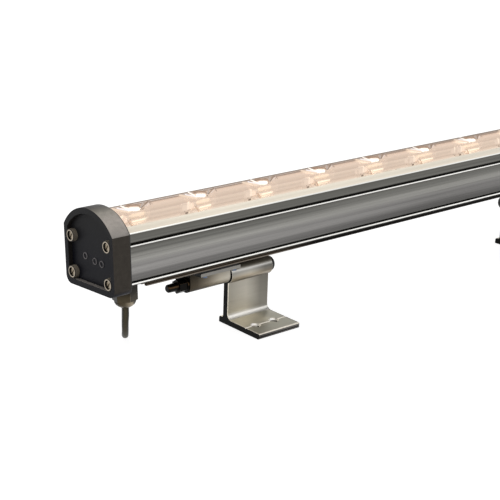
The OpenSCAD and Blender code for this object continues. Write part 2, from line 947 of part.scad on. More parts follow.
module plug_shell() {
    color([0.12, 0.12, 0.13])
        translate(plug_at)
            difference() {
                union() {
                    bar_x(plug_boot_l, plug_shell_l, plug_shell_r);
                    bar_x(plug_boot_l, 4, plug_shell_r + 0.6);
                    bar_x(plug_tip, plug_nut_l - 5, plug_shell_r - 1.6);
                }
                bar_x(plug_tip + 2, plug_nut_l, plug_shell_r - 2.8);
            }
}

module plug_o_ring() {
    color([0.75, 0.25, 0.1])
        translate([plug_at[0] + plug_tip + 3, plug_at[1], plug_at[2]])
            difference() {
                bar_x(0, 1.6, plug_shell_r - 1);
                bar_x(-1, 4, plug_shell_r - 1.55);
            }
}

// Screw ring that locks the plug to its socket
module plug_coupling_nut() {
    color([0.14, 0.14, 0.15])
        translate([plug_at[0] + plug_tip, plug_at[1], plug_at[2]])
            difference() {
                bar_x(0.2, plug_nut_l, plug_nut_r);
                bar_x(-1, plug_nut_l + 3, plug_shell_r - 0.8);
                for (a = [0 : 20 : 340])
                    rotate([a, 0, 0])
                        translate([0, 0, plug_nut_r + 0.25])
                            bar_x(-1, plug_nut_l - 1, 0.6);
            }
}

module plug_pins() {
    color([0.85, 0.7, 0.35])
        translate(plug_at)
            for (a = [0, 120, 240])
                rotate([a, 0, 0])
                    translate([0, 0, 1.8])
                        bar_x(plug_tip + 2, plug_nut_l - 7, 0.5);
}

// The left hinge set is drawn from the middle of its bracket, with its bolt head towards the fixture's end
module at_left_set() {
    translate([bracket_inset - half_l, 0, 0])
        children();
}

knuckle_x = -bracket_w / 2 - knuckle_gap - base_l;
plate_x = -bracket_w / 2 - plate_gap - plate_l;

// Fixed knuckle: square above the tilt axis, round below it, with a thick wall behind it
module hinge_base() {
    color([0.6, 0.56, 0.5])
        on_fixture()
            at_left_set()
                difference() {
                    along_x(knuckle_x, base_l) {
                        translate([0, -hinge_drop])
                            circle(r = base_r);
                        translate([-base_r, -hinge_drop])
                            square([2 * base_r, hinge_drop + plate_top - plate_t]);
                        polygon([
                            [base_r - 1, plate_top - plate_t], [base_rear, plate_top - plate_t],
                            [base_rear, 2 - hinge_drop], [base_rear - 2, -hinge_drop], [base_r - 1, -hinge_drop]
                        ]);
                    }
                    translate([0, 0, -hinge_drop])
                        bar_x(knuckle_x - 1, base_l + 2, pivot_r + pivot_gap);
                    for (x = [8, base_l - 8])
                        translate([knuckle_x + x, 0, -9])
                            cylinder(h = 6, r = 1.3);
                }
}

// Flat plate under the rail that carries the fixed knuckle
module clamp_plate() {
    color([0.74, 0.75, 0.76])
        on_fixture()
            at_left_set()
                difference() {
                    translate([plate_x, -rail_r, plate_top - plate_t])
                        cube([plate_l, 2 * rail_r, plate_t]);
                    at_clamp_screws()
                        translate([0, 0, plate_top - plate_t - 1])
                            cylinder(h = plate_t + 2, r = clamp_screw_r + 0.1);
                    for (x = [8, base_l - 8])
                        translate([knuckle_x + x, 0, plate_top - plate_t - 1]) {
                            cylinder(h = plate_t + 2, r = 1.6);
                            translate([0, 0, plate_t - 0.5])
                                cylinder(h = 2, r = 2.9);
                        }
                }
}

// Repeats a piece at the four screws that clamp the plate to the rail
module at_clamp_screws() {
    for (side = [-1, 1])
        for (end = [-1, 1])
            translate([plate_x + plate_l / 2 + clamp_screw_shift + end * clamp_screw_pitch / 2, side * slot_y, 0])
                children();
}

// Thin pad that the rail slides on
module slide_pad() {
    color([0.06, 0.06, 0.07])
        on_fixture()
            at_left_set()
                difference() {
                    translate([plate_x + 1, -rail_r + 1, plate_top])
                        cube([plate_l - 2, 2 * rail_r - 2, -plate_top - 0.1]);
                    at_clamp_screws()
                        translate([0, 0, plate_top - 1])
                            cylinder(h = 4, r = clamp_screw_r + 0.1);
                }
}

module clamp_screws() {
    color([0.66, 0.7, 0.76])
        on_fixture()
            at_left_set()
                at_clamp_screws() {
                    difference() {
                        translate([0, 0, plate_top - plate_t - clamp_head_h])
                            cylinder(h = clamp_head_h, r = clamp_head_r);
                        translate([0, 0, plate_top - plate_t - clamp_head_h - 1])
                            cylinder(h = 2.2, r = 1, $fn = 6);
                    }
                    translate([0, 0, plate_top - plate_t])
                        cylinder(h = 7.4, r = clamp_screw_r);
                }
}

module slot_nuts() {
    color([0.7, 0.7, 0.68])
        on_fixture()
            at_left_set()
                at_clamp_screws()
                    difference() {
                        translate([-3, -slot_cavity_w / 2 + 0.2, slot_mouth_h + 0.1])
                            cube([6, slot_cavity_w - 0.4, slot_cavity_h - 0.4]);
                        cylinder(h = 8, r = clamp_screw_r + 0.05);
                    }
}

// Two screws that join the fixed knuckle to its plate
module base_screws() {
    color([0.7, 0.7, 0.68])
        on_fixture()
            at_left_set()
                for (x = [8, base_l - 8])
                    translate([knuckle_x + x, 0, 0]) {
                        translate([0, 0, plate_top - 1.5])
                            cylinder(h = 1.4, r = 2.7);
                        translate([0, 0, -8.6])
                            cylinder(h = 8.6 + plate_top - 1.5, r = 1.25);
                    }
}

// Black pivot bolt: a slim nose, a hexagon, and the shank that both knuckles turn on
module pivot_bolt() {
    color([0.07, 0.07, 0.07])
        on_fixture()
            at_left_set()
                translate([0, 0, -hinge_drop]) {
                    translate([knuckle_x - bolt_hex_l - bolt_nose_l, 0, 0])
                        rotate([0, 90, 0]) {
                            cylinder(h = 0.9, r1 = bolt_nose_r[0] - 0.8, r2 = bolt_nose_r[0]);
                            translate([0, 0, 0.9])
                                cylinder(h = bolt_nose_l - 0.8, r1 = bolt_nose_r[0], r2 = bolt_nose_r[1]);
                        }
                    translate([knuckle_x - bolt_hex_l, 0, 0])
                        rotate([0, 90, 0])
                            cylinder(h = bolt_hex_l - 1, r = bolt_hex_af / sqrt(3), $fn = 6);
                    bar_x(knuckle_x - 1.2, 1.2, washer_r);
                    bar_x(knuckle_x - 0.5, base_l + knuckle_gap + bracket_w + 3.2, pivot_r);
                }
}

// Washer between the fixed knuckle and the bracket's knuckle, which sets the friction of the tilt
module friction_washer() {
    color([0.12, 0.12, 0.12])
        on_fixture()
            at_left_set()
                translate([0, 0, -hinge_drop])
                    difference() {
                        bar_x(knuckle_x + base_l, knuckle_gap - 0.05, washer_r);
                        bar_x(knuckle_x + base_l - 1, knuckle_gap + 2, pivot_r + 0.02);
                    }
}

// Domed cap nut on the far end of the pivot bolt
module end_nut() {
    color([0.06, 0.06, 0.06])
        on_fixture()
            at_left_set()
                translate([bracket_w / 2 + 0.05, 0, -hinge_drop])
                    difference() {
                        union() {
                            bar_x(0, 0.9, end_nut_r + 0.5);
                            bar_x(0, end_nut_l - 2, end_nut_r);
                            rotate([0, 90, 0]) {
                                translate([0, 0, end_nut_l - 2])
                                    cylinder(h = 1.2, r1 = end_nut_r, r2 = end_nut_r - 0.9);
                                translate([0, 0, end_nut_l - 0.8])
                                    cylinder(h = 0.8, r1 = end_nut_r - 0.9, r2 = end_nut_r - 2.4);
                            }
                        }
                        bar_x(-1, 4.2, pivot_r + 0.02);
                    }
}

// Section of the bracket: knuckle, web, filleted foot with a centring groove, and heel
module bracket_section() {
    translate([0, hinge_h])
        circle(r = knuckle_r);
    translate([-web_t / 2, 1])
        square([web_t, hinge_h - 1]);
    difference() {
        translate([-foot_reach, 0])
            square([foot_reach + heel_reach - 2, foot_t]);
        polygon([[-groove_y - 0.6, foot_t + 0.01], [-groove_y, foot_t - 0.6], [-groove_y + 0.6, foot_t + 0.01]]);
        polygon([[-foot_reach - 0.01, 1.9], [-foot_reach + 0.3, 2.2], [-foot_reach - 0.01, 2.5]]);
        polygon([[-foot_reach - 0.01, -0.01], [-foot_reach - 0.01, 1], [-foot_reach + 0.5, 0.4], [-foot_reach + 1.4, -0.01]]);
    }
    translate([heel_reach - 2.1, 0])
        square([2.1, heel_h - 2]);
    translate([0, 1])
        square([heel_reach - 2, heel_h - 1]);
    translate([heel_reach - 2, heel_h - 2])
        circle(r = 2);
    difference() {
        translate([web_t / 2 - 0.1, heel_h - 0.1])
            square([1.5, 1.5]);
        translate([web_t / 2 + 1.4, heel_h + 1.4])
            circle(r = 1.4);
    }
    difference() {
        translate([-web_t / 2 - web_fillet, foot_t - 0.1])
            square([web_fillet + 0.1, web_fillet + 0.1]);
        translate([-web_t / 2 - web_fillet, foot_t + web_fillet])
            circle(r = web_fillet);
    }
}

module bracket() {
    color([0.62, 0.59, 0.53])
        translate([0, hinge_y, 0])
            at_left_set()
                difference() {
                    along_x(-bracket_w / 2, bracket_w)
                        bracket_section();
                    translate([0, 0, hinge_h])
                        bar_x(-bracket_w / 2 - 1, bracket_w + 2, pivot_r + pivot_gap);
                    for (side = [-1, 1])
                        translate([foot_hole_shift + side * foot_hole_pitch / 2, -groove_y, 0]) {
                            translate([0, 0, -1])
                                cylinder(h = foot_t + 2, r = foot_hole_r);
                            translate([0, 0, foot_t - sink_r + foot_hole_r])
                                cylinder(h = sink_r - foot_hole_r + 0.01, r1 = foot_hole_r, r2 = sink_r);
                        }
                }
}

// The right hinge set is the left one mirrored
module mirrored() {
    mirror([1, 0, 0])
        children();
}

module left_hinge_base() {
    hinge_base();
}

module left_clamp_plate() {
    clamp_plate();
}

module left_slide_pad() {
    slide_pad();
}

module left_clamp_screws() {
    clamp_screws();
}

module left_slot_nuts() {
    slot_nuts();
}

module left_base_screws() {
    base_screws();
}

module left_pivot_bolt() {
    pivot_bolt();
}

module left_friction_washer() {
    friction_washer();
}

module left_end_nut() {
    end_nut();
}

module left_bracket() {
    bracket();
}

module right_hinge_base() {
    mirrored() hinge_base();
}

module right_clamp_plate() {
    mirrored() clamp_plate();
}

module right_slide_pad() {
    mirrored() slide_pad();
}

module right_clamp_screws() {
    mirrored() clamp_screws();
}

module right_slot_nuts() {
    mirrored() slot_nuts();
}

module right_base_screws() {
    mirrored() base_screws();
}

module right_pivot_bolt() {
    mirrored() pivot_bolt();
}

module right_friction_washer() {
    mirrored() friction_washer();
}

module right_end_nut() {
    mirrored() end_nut();
}

module right_bracket() {
    mirrored() bracket();
}

housing();
lens_cover();
front_lens_seal();
rear_lens_seal();
left_end_cap();
right_end_cap();
left_cap_gasket();
right_cap_gasket();
left_cap_screws();
right_cap_screws();
thermal_pad();
left_led_board();
right_led_board();
leds();
optic_lenses();
optic_holders();
light_tray();
board_screws();
board_plugs();
board_link();
driver_board();
driver_capacitors();
driver_coils();
driver_chips();
driver_terminals();
driver_standoffs();
driver_screws();
driver_output_wires();
driver_input_wires();
gland_body();
gland_o_ring();
gland_locknut();
gland_seal();
gland_nut();
power_lead();
plug_boot();
plug_shell();
plug_o_ring();
plug_coupling_nut();
plug_pins();
left_hinge_base();
left_clamp_plate();
left_slide_pad();
left_clamp_screws();
left_slot_nuts();
left_base_screws();
left_pivot_bolt();
left_friction_washer();
left_end_nut();
left_bracket();
right_hinge_base();
right_clamp_plate();
right_slide_pad();
right_clamp_screws();
right_slot_nuts();
right_base_screws();
right_pivot_bolt();
right_friction_washer();
right_end_nut();
right_bracket();
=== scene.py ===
import math

import bmesh
import bpy
from mathutils import Matrix, Vector


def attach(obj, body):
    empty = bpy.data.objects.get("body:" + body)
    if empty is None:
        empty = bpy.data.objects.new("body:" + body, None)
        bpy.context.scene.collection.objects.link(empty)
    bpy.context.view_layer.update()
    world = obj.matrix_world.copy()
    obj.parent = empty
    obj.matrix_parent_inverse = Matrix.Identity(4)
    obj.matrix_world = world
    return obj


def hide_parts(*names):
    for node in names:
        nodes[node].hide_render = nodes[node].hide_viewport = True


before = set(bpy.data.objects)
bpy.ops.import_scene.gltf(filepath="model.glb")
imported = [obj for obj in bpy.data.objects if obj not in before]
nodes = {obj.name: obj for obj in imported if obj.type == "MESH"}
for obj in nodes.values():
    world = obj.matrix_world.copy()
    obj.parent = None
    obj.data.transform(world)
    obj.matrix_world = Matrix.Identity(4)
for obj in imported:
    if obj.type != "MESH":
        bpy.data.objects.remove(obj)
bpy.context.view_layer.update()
scene = bpy.context.scene
scene.view_settings.view_transform = "Standard"

# Lengths are in millimetres unless a comment says otherwise, and MM turns them into metres.
MM = 0.001

# The light, as in part.scad. Its own frame has zero height at the flat underside of the end caps.
LEAN = math.radians(4)
HINGE_Y = 3.1274
HINGE_Z = 39.7
HINGE_DROP = 12.7
LED_PITCH = 58.5
LED_COUNT = 10
LED_SHIFT = 1.8
BRACKET_X = 161
CAP_SCREW_Y = 21.5
CAP_SCREW_LOW_Z = 8.8
CAP_SCREW_HIGH_Z = 34.7
CAP_MIDDLE_Z = 21
CAP_RINGS = ((8.5, 22.3), (-2.7, 20.6), (-10.8, 20.2))

# Lengths over which colour ramps run from 0 to 1
BODY_SPAN = 600
SECTION_SPAN = 60
BRACKET_SPAN = 40
KNUCKLE_SPAN = 60

# The camera, solved from the photo: angles in degrees, focal length in the photo's pixels
CAMERA_PLACE = (-768.85, -694.45, 366.75)
CAMERA_AZIMUTH = 41.22
CAMERA_ELEVATION = 18.67
CAMERA_ROLL = 1.89
CAMERA_SHIFT = 0.001
FOCAL_PIXELS = 1315.4
PHOTO_PIXELS = 500
SENSOR_WIDTH = 36

# The power lead's route in the row frame, after it leaves the gland
LEAD_D = 4.8
GLAND_X = -271.8
GLAND_TIP_Z = -17.6
LEAD_STRAIGHT = 5
LEAD_ROUTE = [
    (-271, 4, 22), (-268.5, 7.5, 14.5), (-265, 12.5, 9), (-261.5, 17.5, 6.2), (-257, 24, 4), (-251.5, 31.5, 2.9),
    (-246, 39.5, 2.6), (-240, 48, 2.6), (-234, 56.5, 2.6), (-228, 65, 2.6), (-222, 73.5, 2.6), (-216, 82, 2.6),
    (-210, 90.5, 2.6), (-204, 98.5, 2.6), (-197, 105.5, 2.6), (-188.5, 110, 2.6), (-178.5, 112, 2.6),
    (-168, 112.5, 2.6), (-157, 112, 2.6), (-146, 111.5, 2.6), (-135, 111.5, 2.6), (-124, 112, 2.6),
    (-113, 112.5, 2.8), (-102.5, 112.5, 4), (-92.5, 112, 6), (-83.5, 112, 7.2), (-75.5, 112, 7.5), (-68, 112, 7.5),
]


def on_feet(x, y, z):
    """A place in the fixture's own frame, in millimetres, as a vector in the row frame, in metres."""
    c, s = math.cos(LEAN), math.sin(LEAN)
    raised = z + HINGE_DROP
    return Vector((x, HINGE_Y + y * c + raised * s, HINGE_Z - y * s + raised * c)) * MM


# ---------------------------------------------------------------- camera
def make_camera():
    azimuth, elevation, roll = (math.radians(a) for a in (CAMERA_AZIMUTH, CAMERA_ELEVATION, CAMERA_ROLL))
    forward = Vector((
        math.sin(azimuth) * math.cos(elevation),
        math.cos(azimuth) * math.cos(elevation),
        -math.sin(elevation),
    ))
    right = Vector((math.cos(azimuth), -math.sin(azimuth), 0))
    up = right.cross(forward)
    turned_right = math.cos(roll) * right + math.sin(roll) * up
    turned_up = -math.sin(roll) * right + math.cos(roll) * up
    data = bpy.data.cameras.new("camera")
    data.sensor_width = SENSOR_WIDTH
    data.lens = SENSOR_WIDTH * FOCAL_PIXELS / PHOTO_PIXELS
    data.shift_x = -CAMERA_SHIFT
    data.shift_y = CAMERA_SHIFT
    data.clip_start = 0.05
    data.clip_end = 30
    camera = bpy.data.objects.new("camera", data)
    basis = Matrix((turned_right, turned_up, -forward)).transposed().to_4x4()
    camera.matrix_world = Matrix.Translation(Vector(CAMERA_PLACE) * MM) @ basis
    scene.collection.objects.link(camera)
    scene.camera = camera


make_camera()


# ---------------------------------------------------------------- node helpers
def new_material(name):
    m = bpy.data.materials.new(name)
    m.use_nodes = True
    t = m.node_tree
    t.nodes.clear()
    out = t.nodes.new("ShaderNodeOutputMaterial")
    return m, t, out


def add(t, kind, ins=None, **props):
    """Adds a node, sets its properties, and links or sets its inputs."""
    n = t.nodes.new(kind)
    for key, value in props.items():
        setattr(n, key, value)
    for key, value in (ins or {}).items():
        s = n.inputs[key]
        if isinstance(value, bpy.types.NodeSocket):
            t.links.new(value, s)
        elif s.type == "RGBA":
            s.default_value = (*value, 1)
        else:
            s.default_value = value
    return n


def math_node(t, op, *values, clamp=False):
    return add(t, "ShaderNodeMath", dict(enumerate(values)), operation=op, use_clamp=clamp).outputs[0]


def share_of(t, value, span, shift=0.0):
    """A value in metres as a share of a span in millimetres, plus a shift."""
    return math_node(t, "MULTIPLY_ADD", value, 1000 / span, shift)


def absolute(t, value):
    return math_node(t, "ABSOLUTE", value)


def product(t, *values):
    result = values[0]
    for v in values[1:]:
        result = math_node(t, "MULTIPLY", result, v)
    return result


def average(t, a, b, share=0.5):
    """The sum of a and b, with a counted by its share and b by the rest."""
    return math_node(t, "ADD", math_node(t, "MULTIPLY", a, share), math_node(t, "MULTIPLY", b, 1 - share))


def ramp(t, fac, stops, span=1.0):
    """Colour ramp with (position, colour or grey) stops, whose positions are shares of a span."""
    n = add(t, "ShaderNodeValToRGB", {0: fac})
    r = n.color_ramp
    while len(r.elements) < len(stops):
        r.elements.new(1)
    for e, (p, c) in zip(r.elements, stops):
        e.position = p / span
        e.color = (c, c, c, 1) if isinstance(c, (int, float)) else (*c, 1)
    return n.outputs[0]


def mix_colour(t, fac, a, b, blend="MIX"):
    return add(t, "ShaderNodeMix", {0: fac, 6: a, 7: b}, data_type="RGBA", blend_type=blend,
               clamp_factor=True).outputs[2]


def tint(t, a, b):
    """Colour a multiplied by colour b."""
    return mix_colour(t, 1.0, a, b, "MULTIPLY")


def object_place(t):
    return add(t, "ShaderNodeTexCoord").outputs["Object"]


def scaled_noise(t, place, scale, detail=3.0):
    """Noise over a place that is stretched by a scale for each axis."""
    m = add(t, "ShaderNodeMapping", {"Vector": place, "Scale": scale})
    return add(t, "ShaderNodeTexNoise", {
        "Vector": m.outputs[0], "Scale": 1.0, "Detail": detail, "Roughness": 0.5,
    }).outputs["Fac"]


def bumps(t, height, strength, depth):
    """The normal of a surface with bumps of a depth in millimetres."""
    return add(t, "ShaderNodeBump", {
        "Strength": strength, "Distance": depth * MM, "Height": height,
    }).outputs[0]


def principled(t, out, ins):
    shader = add(t, "ShaderNodeBsdfPrincipled", ins)
    t.links.new(shader.outputs[0], out.inputs[0])


def fixture_place(t):
    """X, Y and Z in the fixture's own frame, in metres."""
    moved = add(t, "ShaderNodeVectorMath", {0: object_place(t), 1: (0, -HINGE_Y * MM, -HINGE_Z * MM)},
                operation="ADD")
    turned = add(t, "ShaderNodeVectorRotate", {"Vector": moved.outputs[0], "Angle": LEAN},
                 rotation_type="X_AXIS")
    raised = add(t, "ShaderNodeVectorMath", {0: turned.outputs[0], 1: (0, 0, -HINGE_DROP * MM)},
                 operation="ADD")
    return raised.outputs[0]


def parts_of(t, vector):
    n = add(t, "ShaderNodeSeparateXYZ", {0: vector})
    return n.outputs[0], n.outputs[1], n.outputs[2]


def flat_place(t, a, b):
    return add(t, "ShaderNodeCombineXYZ", {0: a, 1: b, 2: 0.0}).outputs[0]


def object_normal(t):
    """Surface normal in the piece's own directions, so that it rides with the piece."""
    n = add(t, "ShaderNodeNewGeometry").outputs["Normal"]
    turned = add(t, "ShaderNodeVectorTransform", {0: n}, vector_type="NORMAL", convert_from="WORLD",
                 convert_to="OBJECT")
    return parts_of(t, turned.outputs[0])


def facing_up(t, nz):
    """0 where a surface faces down, 0.5 where it is upright, 1 where it faces up."""
    return math_node(t, "MULTIPLY_ADD", nz, 0.5, 0.5)


def smooth_step(t, value, low, high):
    """0 below low, 1 above high; the other way round where low is the larger."""
    if low > high:
        return math_node(t, "SUBTRACT", 1.0, smooth_step(t, value, high, low))
    return add(t, "ShaderNodeMapRange", {0: value, 1: low, 2: high, 3: 0.0, 4: 1.0},
               interpolation_type="SMOOTHSTEP").outputs[0]


def between(t, value, low, high, soft):
    """1 from low to high and 0 outside, with soft edges."""
    return product(t, smooth_step(t, value, low - soft, low + soft),
                   smooth_step(t, value, high + soft, high - soft))


def step_mm(t, value, low, high):
    """smooth_step of a value in metres, with its ends in millimetres."""
    return smooth_step(t, value, low * MM, high * MM)


def band_mm(t, value, low, high, soft):
    """between for a value in metres, with its ends and softness in millimetres."""
    return between(t, value, low * MM, high * MM, soft * MM)


def streak(t, flat, a, b, half, soft):
    """Mask of a round ended line from a to b on a flat place, in millimetres."""
    d = (b[0] - a[0], b[1] - a[1])
    length2 = max(1e-6, d[0] ** 2 + d[1] ** 2)
    v = add(t, "ShaderNodeVectorMath", {0: flat, 1: (a[0], a[1], 0)}, operation="SUBTRACT").outputs[0]
    h = add(t, "ShaderNodeVectorMath", {0: v, 1: (d[0] / length2, d[1] / length2, 0)},
            operation="DOT_PRODUCT").outputs["Value"]
    h = math_node(t, "ADD", h, 0.0, clamp=True)
    near = add(t, "ShaderNodeVectorMath", {0: (d[0], d[1], 0), "Scale": h}, operation="SCALE").outputs[0]
    away = add(t, "ShaderNodeVectorMath", {0: v, 1: near}, operation="DISTANCE").outputs["Value"]
    return smooth_step(t, away, half + soft, max(0, half - soft))


def surface(name, colour, rough, metal=0.0, spread=0.12, grain=(900, 900, 900), bump=0.15, bump_mm=0.05,
            specular=0.5, patch=(30, 30, 30), rough_spread=0.08, glow=None, paint=None):
    """Patches, fine grain and uneven roughness on one colour, or on what a paint function gives."""
    m, t, out = new_material(name)
    place = object_place(t)
    fine = scaled_noise(t, place, grain, 4)
    broad = scaled_noise(t, place, patch, 3)
    both = average(t, fine, broad, 0.55)
    low, high = 1 - spread * 2, 1 + spread * 2
    if paint:
        painted = paint(t)
        if isinstance(painted, tuple):
            painted, metal = painted
        base = tint(t, painted, ramp(t, both, [(0.25, low), (0.5, 1.0), (0.75, high)]))
    else:
        darker = tuple(max(0, c * low) for c in colour)
        lighter = tuple(min(1, c * high) for c in colour)
        base = ramp(t, both, [(0.25, darker), (0.5, colour), (0.75, lighter)])
    ins = {
        "Base Color": base, "Metallic": metal, "Specular IOR Level": specular,
        "Roughness": ramp(t, both, [(0.3, max(0, rough - rough_spread)), (0.7, min(1, rough + rough_spread))]),
        "Normal": bumps(t, fine, bump, bump_mm),
    }
    if glow:
        ins["Emission Color"] = glow
        ins["Emission Strength"] = 1.0
    principled(t, out, ins)
    return m


def grey(v, warm=0.06):
    """A slightly warm grey, given by the level of its middle channel."""
    return (v * (1 + warm), v, v * (1 - warm))


# ---------------------------------------------------------------- section
# Painted highlight on the ledges and the strip's edge, and painted shade in the grooves
HIGHLIGHT_WHITE = (0.98, 0.98, 0.94)
GROOVE_SHADE_BROWN = (0.024, 0.018, 0.011)
GROOVE_SHADE_BLACK = (0.014, 0.013, 0.011)
# Painted light and shade of the section by height: rail, lower ledge highlight and the panel's lower half
SECTION_LOW = [
    (0.0, grey(0.19, 0.15)), (0.9, grey(0.10, 0.25)), (1.8, grey(0.040, 0.3)), (2.6, GROOVE_SHADE_BROWN),
    (7.0, GROOVE_SHADE_BROWN), (7.2, HIGHLIGHT_WHITE), (7.8, HIGHLIGHT_WHITE), (7.95, (0.022, 0.021, 0.018)), (8.7, (0.03, 0.029, 0.026)),
    (9.5, grey(0.095, 0.05)), (10.5, grey(0.140, 0.03)), (13.4, grey(0.172, 0.03)), (15.5, grey(0.235, 0.03)),
    (17.7, grey(0.30, 0.03)), (20.5, grey(0.27, 0.03)), (21.5, grey(0.27, 0.03)),
]
# Painted light and shade of the panel's upper half, upper ledge highlight, groove, plain band and sloping strip
SECTION_HIGH = [
    (20.5, grey(0.27, 0.03)), (23.4, (0.300, 0.294, 0.277)), (26.2, (0.245, 0.240, 0.224)),
    (27.7, (0.198, 0.194, 0.180)), (29.8, (0.163, 0.161, 0.148)), (32.0, (0.150, 0.148, 0.134)),
    (33.05, grey(0.080)), (33.3, HIGHLIGHT_WHITE), (33.85, HIGHLIGHT_WHITE), (33.95, GROOVE_SHADE_BLACK), (35.95, GROOVE_SHADE_BLACK),
    (36.1, grey(0.075)), (36.9, (0.164, 0.161, 0.147)), (41.6, (0.097, 0.095, 0.085)), (41.95, grey(0.2)),
    (42.1, HIGHLIGHT_WHITE), (42.5, HIGHLIGHT_WHITE), (42.8, (0.63, 0.57, 0.48)), (44.9, (0.65, 0.60, 0.51)), (60, (0.65, 0.59, 0.50)),
]
# Painted light and shade along the fixture, from its left end to its right end
STRIP_ALONG = [(0.02, 0.70), (0.16, 0.93), (0.33, 1.05), (1.0, 1.0)]
PANEL_LOW_ALONG = [(0.06, 1.0), (0.20, 0.98), (0.33, 0.88), (0.43, 0.76), (0.52, 0.64), (1.0, 0.62)]
PANEL_HIGH_ALONG = [(0.06, 1.0), (0.30, 1.0), (0.52, 0.98), (1.0, 0.95)]
RAIL_ALONG = [(0.25, 1.0), (0.32, 0.10), (1.0, 0.10)]
# Heights on the section, each as the two ends of a soft step or band
HALVES_MEET = (20.9, 21.1)
STRIP_FOOT = (42.55, 42.75)
PANEL = (9.3, 32.9)
PANEL_TURN = (18, 26)
RAIL_TOP = (7.0, 6.9)
UPPER_LEDGE = (33.35, 33.85)
LOWER_LEDGE = (7.25, 7.75)


def housing_material():
    """Anodised extrusion, painted with light and shade: cream strips as a reflection, glowing ledge highlights,
    darker band and ribbed panel, fine lines along it.
    """
    m, t, out = new_material("anodised_extrusion")
    place = fixture_place(t)
    x, _, z = parts_of(t, place)
    height = share_of(t, z, SECTION_SPAN)
    along = share_of(t, x, BODY_SPAN, 0.5)
    base = mix_colour(t, step_mm(t, z, *HALVES_MEET), ramp(t, height, SECTION_LOW, SECTION_SPAN),
                      ramp(t, height, SECTION_HIGH, SECTION_SPAN))

    # Painted reflection on the sloping strip, dimmer towards the left end
    strip = step_mm(t, z, *STRIP_FOOT)
    base = mix_colour(t, strip, base, tint(t, tint(t, base, (1.1, 1.1, 1.1)), ramp(t, along, STRIP_ALONG)))
    # Painted shade along the ribbed panel, darker towards the right
    panel = band_mm(t, z, *PANEL, 0.2)
    fall = mix_colour(t, step_mm(t, z, *PANEL_TURN), ramp(t, along, PANEL_LOW_ALONG),
                      ramp(t, along, PANEL_HIGH_ALONG))
    base = mix_colour(t, panel, base, tint(t, base, fall))
    # Painted shade on the rail, nearly black towards the right
    rail = step_mm(t, z, *RAIL_TOP)
    base = mix_colour(t, rail, base, tint(t, base, ramp(t, along, RAIL_ALONG)))

    lines = scaled_noise(t, place, (5, 620, 620), 4)
    long_lines = scaled_noise(t, place, (1.2, 330, 330), 3)
    both = average(t, lines, long_lines)
    strength = math_node(t, "MULTIPLY_ADD", strip, -0.6, 0.9)
    base = mix_colour(t, strength, base, ramp(t, both, [(0.34, 0.72), (0.5, 1.0), (0.66, 1.28)]), "MULTIPLY")
    # Painted highlights on the two ledges, which also glow
    ledges = math_node(t, "MAXIMUM", band_mm(t, z, *UPPER_LEDGE, 0.06), band_mm(t, z, *LOWER_LEDGE, 0.08))
    principled(t, out, {
        "Base Color": base, "Roughness": ramp(t, both, [(0.3, 0.32), (0.7, 0.44)]), "Metallic": 0.8,
        "Normal": bumps(t, lines, 0.10, 0.04), "Specular IOR Level": 0.25,
        "Emission Color": (1.0, 0.98, 0.92), "Emission Strength": math_node(t, "MULTIPLY", ledges, 0.35),
    })
    return m


# ---------------------------------------------------------------- cover and what it shows
# Painted glints: lines and spots of light and shade beside each light point, by P and Q of led_place:
# from, to, half width, softness, colour
GLINTS = [
    ((-14.8, 43.5), (-8.6, 43.8), 2.00, 1.00, (0.70, 0.57, 0.47)),
    ((-18.8, 53.5), (-4.6, 49.3), 0.45, 0.75, (0.90, 0.72, 0.56)),
    ((-6.7, 54.2), (-0.4, 53.2), 0.45, 0.35, (0.34, 0.22, 0.15)),
    ((-0.4, 53.2), (5.0, 51.9), 0.45, 0.35, (0.34, 0.22, 0.15)),
    ((5.0, 51.9), (5.9, 50.4), 0.35, 0.25, (0.32, 0.21, 0.14)),
    ((7.6, 53.0), (6.7, 50.8), 0.75, 0.40, (0.46, 0.39, 0.35)),
    ((-13.9, 53.3), (-3.7, 49.9), 0.35, 0.28, (0.98, 0.95, 0.98)),
    ((-11.0, 54.3), (-5.5, 51.3), 0.40, 0.30, (1.25, 1.18, 1.08)),
    ((7.3, 50.2), (11.8, 53.7), 0.38, 0.22, (0.22, 0.16, 0.12)),
    ((12.6, 53.6), (14.8, 51.2), 0.28, 0.20, (0.34, 0.26, 0.22)),
    ((9.8, 50.6), (12.8, 52.6), 0.28, 0.20, (0.80, 0.68, 0.62)),
    ((-2.6, 45.9), (7.0, 45.9), 0.10, 2.10, (0.76, 0.62, 0.46)),
    ((-3.4, 44.1), (8.9, 43.7), 0.22, 0.35, (0.42, 0.33, 0.23)),
    ((-1.0, 41.3), (8.6, 41.4), 0.10, 1.80, (0.72, 0.60, 0.46)),
    ((-0.8, 41.7), (9.2, 42.0), 0.20, 0.55, (1.04, 0.95, 0.76)),
    ((-0.6, 40.0), (6.5, 40.2), 0.10, 0.50, (0.82, 0.70, 0.54)),
    ((-11.2, 46.6), (-11.4, 42.7), 0.90, 0.80, (0.94, 0.78, 0.63)),
    ((-11.6, 41.4), (-5.3, 41.6), 0.25, 0.25, (0.34, 0.25, 0.18)),
    ((-4.8, 43.0), (-2.0, 39.0), 0.45, 0.30, (0.16, 0.11, 0.08)),
    ((-10.7, 39.8), (-10.7, 39.8), 0.40, 0.40, (1.00, 0.84, 0.62)),
    ((-13.4, 39.6), (-12.0, 39.7), 0.65, 0.25, (0.015, 0.010, 0.006)),
    ((-14.4, 41.0), (-14.4, 41.0), 0.40, 0.30, (0.14, 0.10, 0.08)),
    ((-3.0, 50.8), (3.4, 49.7), 1.25, 0.30, (1.30, 1.26, 1.15)),
    ((6.1, 49.2), (6.1, 49.2), 0.65, 0.30, (0.03, 0.025, 0.02)),
]
# Glints that reach above this Q also lie on the cover
GLINT_ON_COVER = 50
COVER_GLINT_LEVEL = 0.95
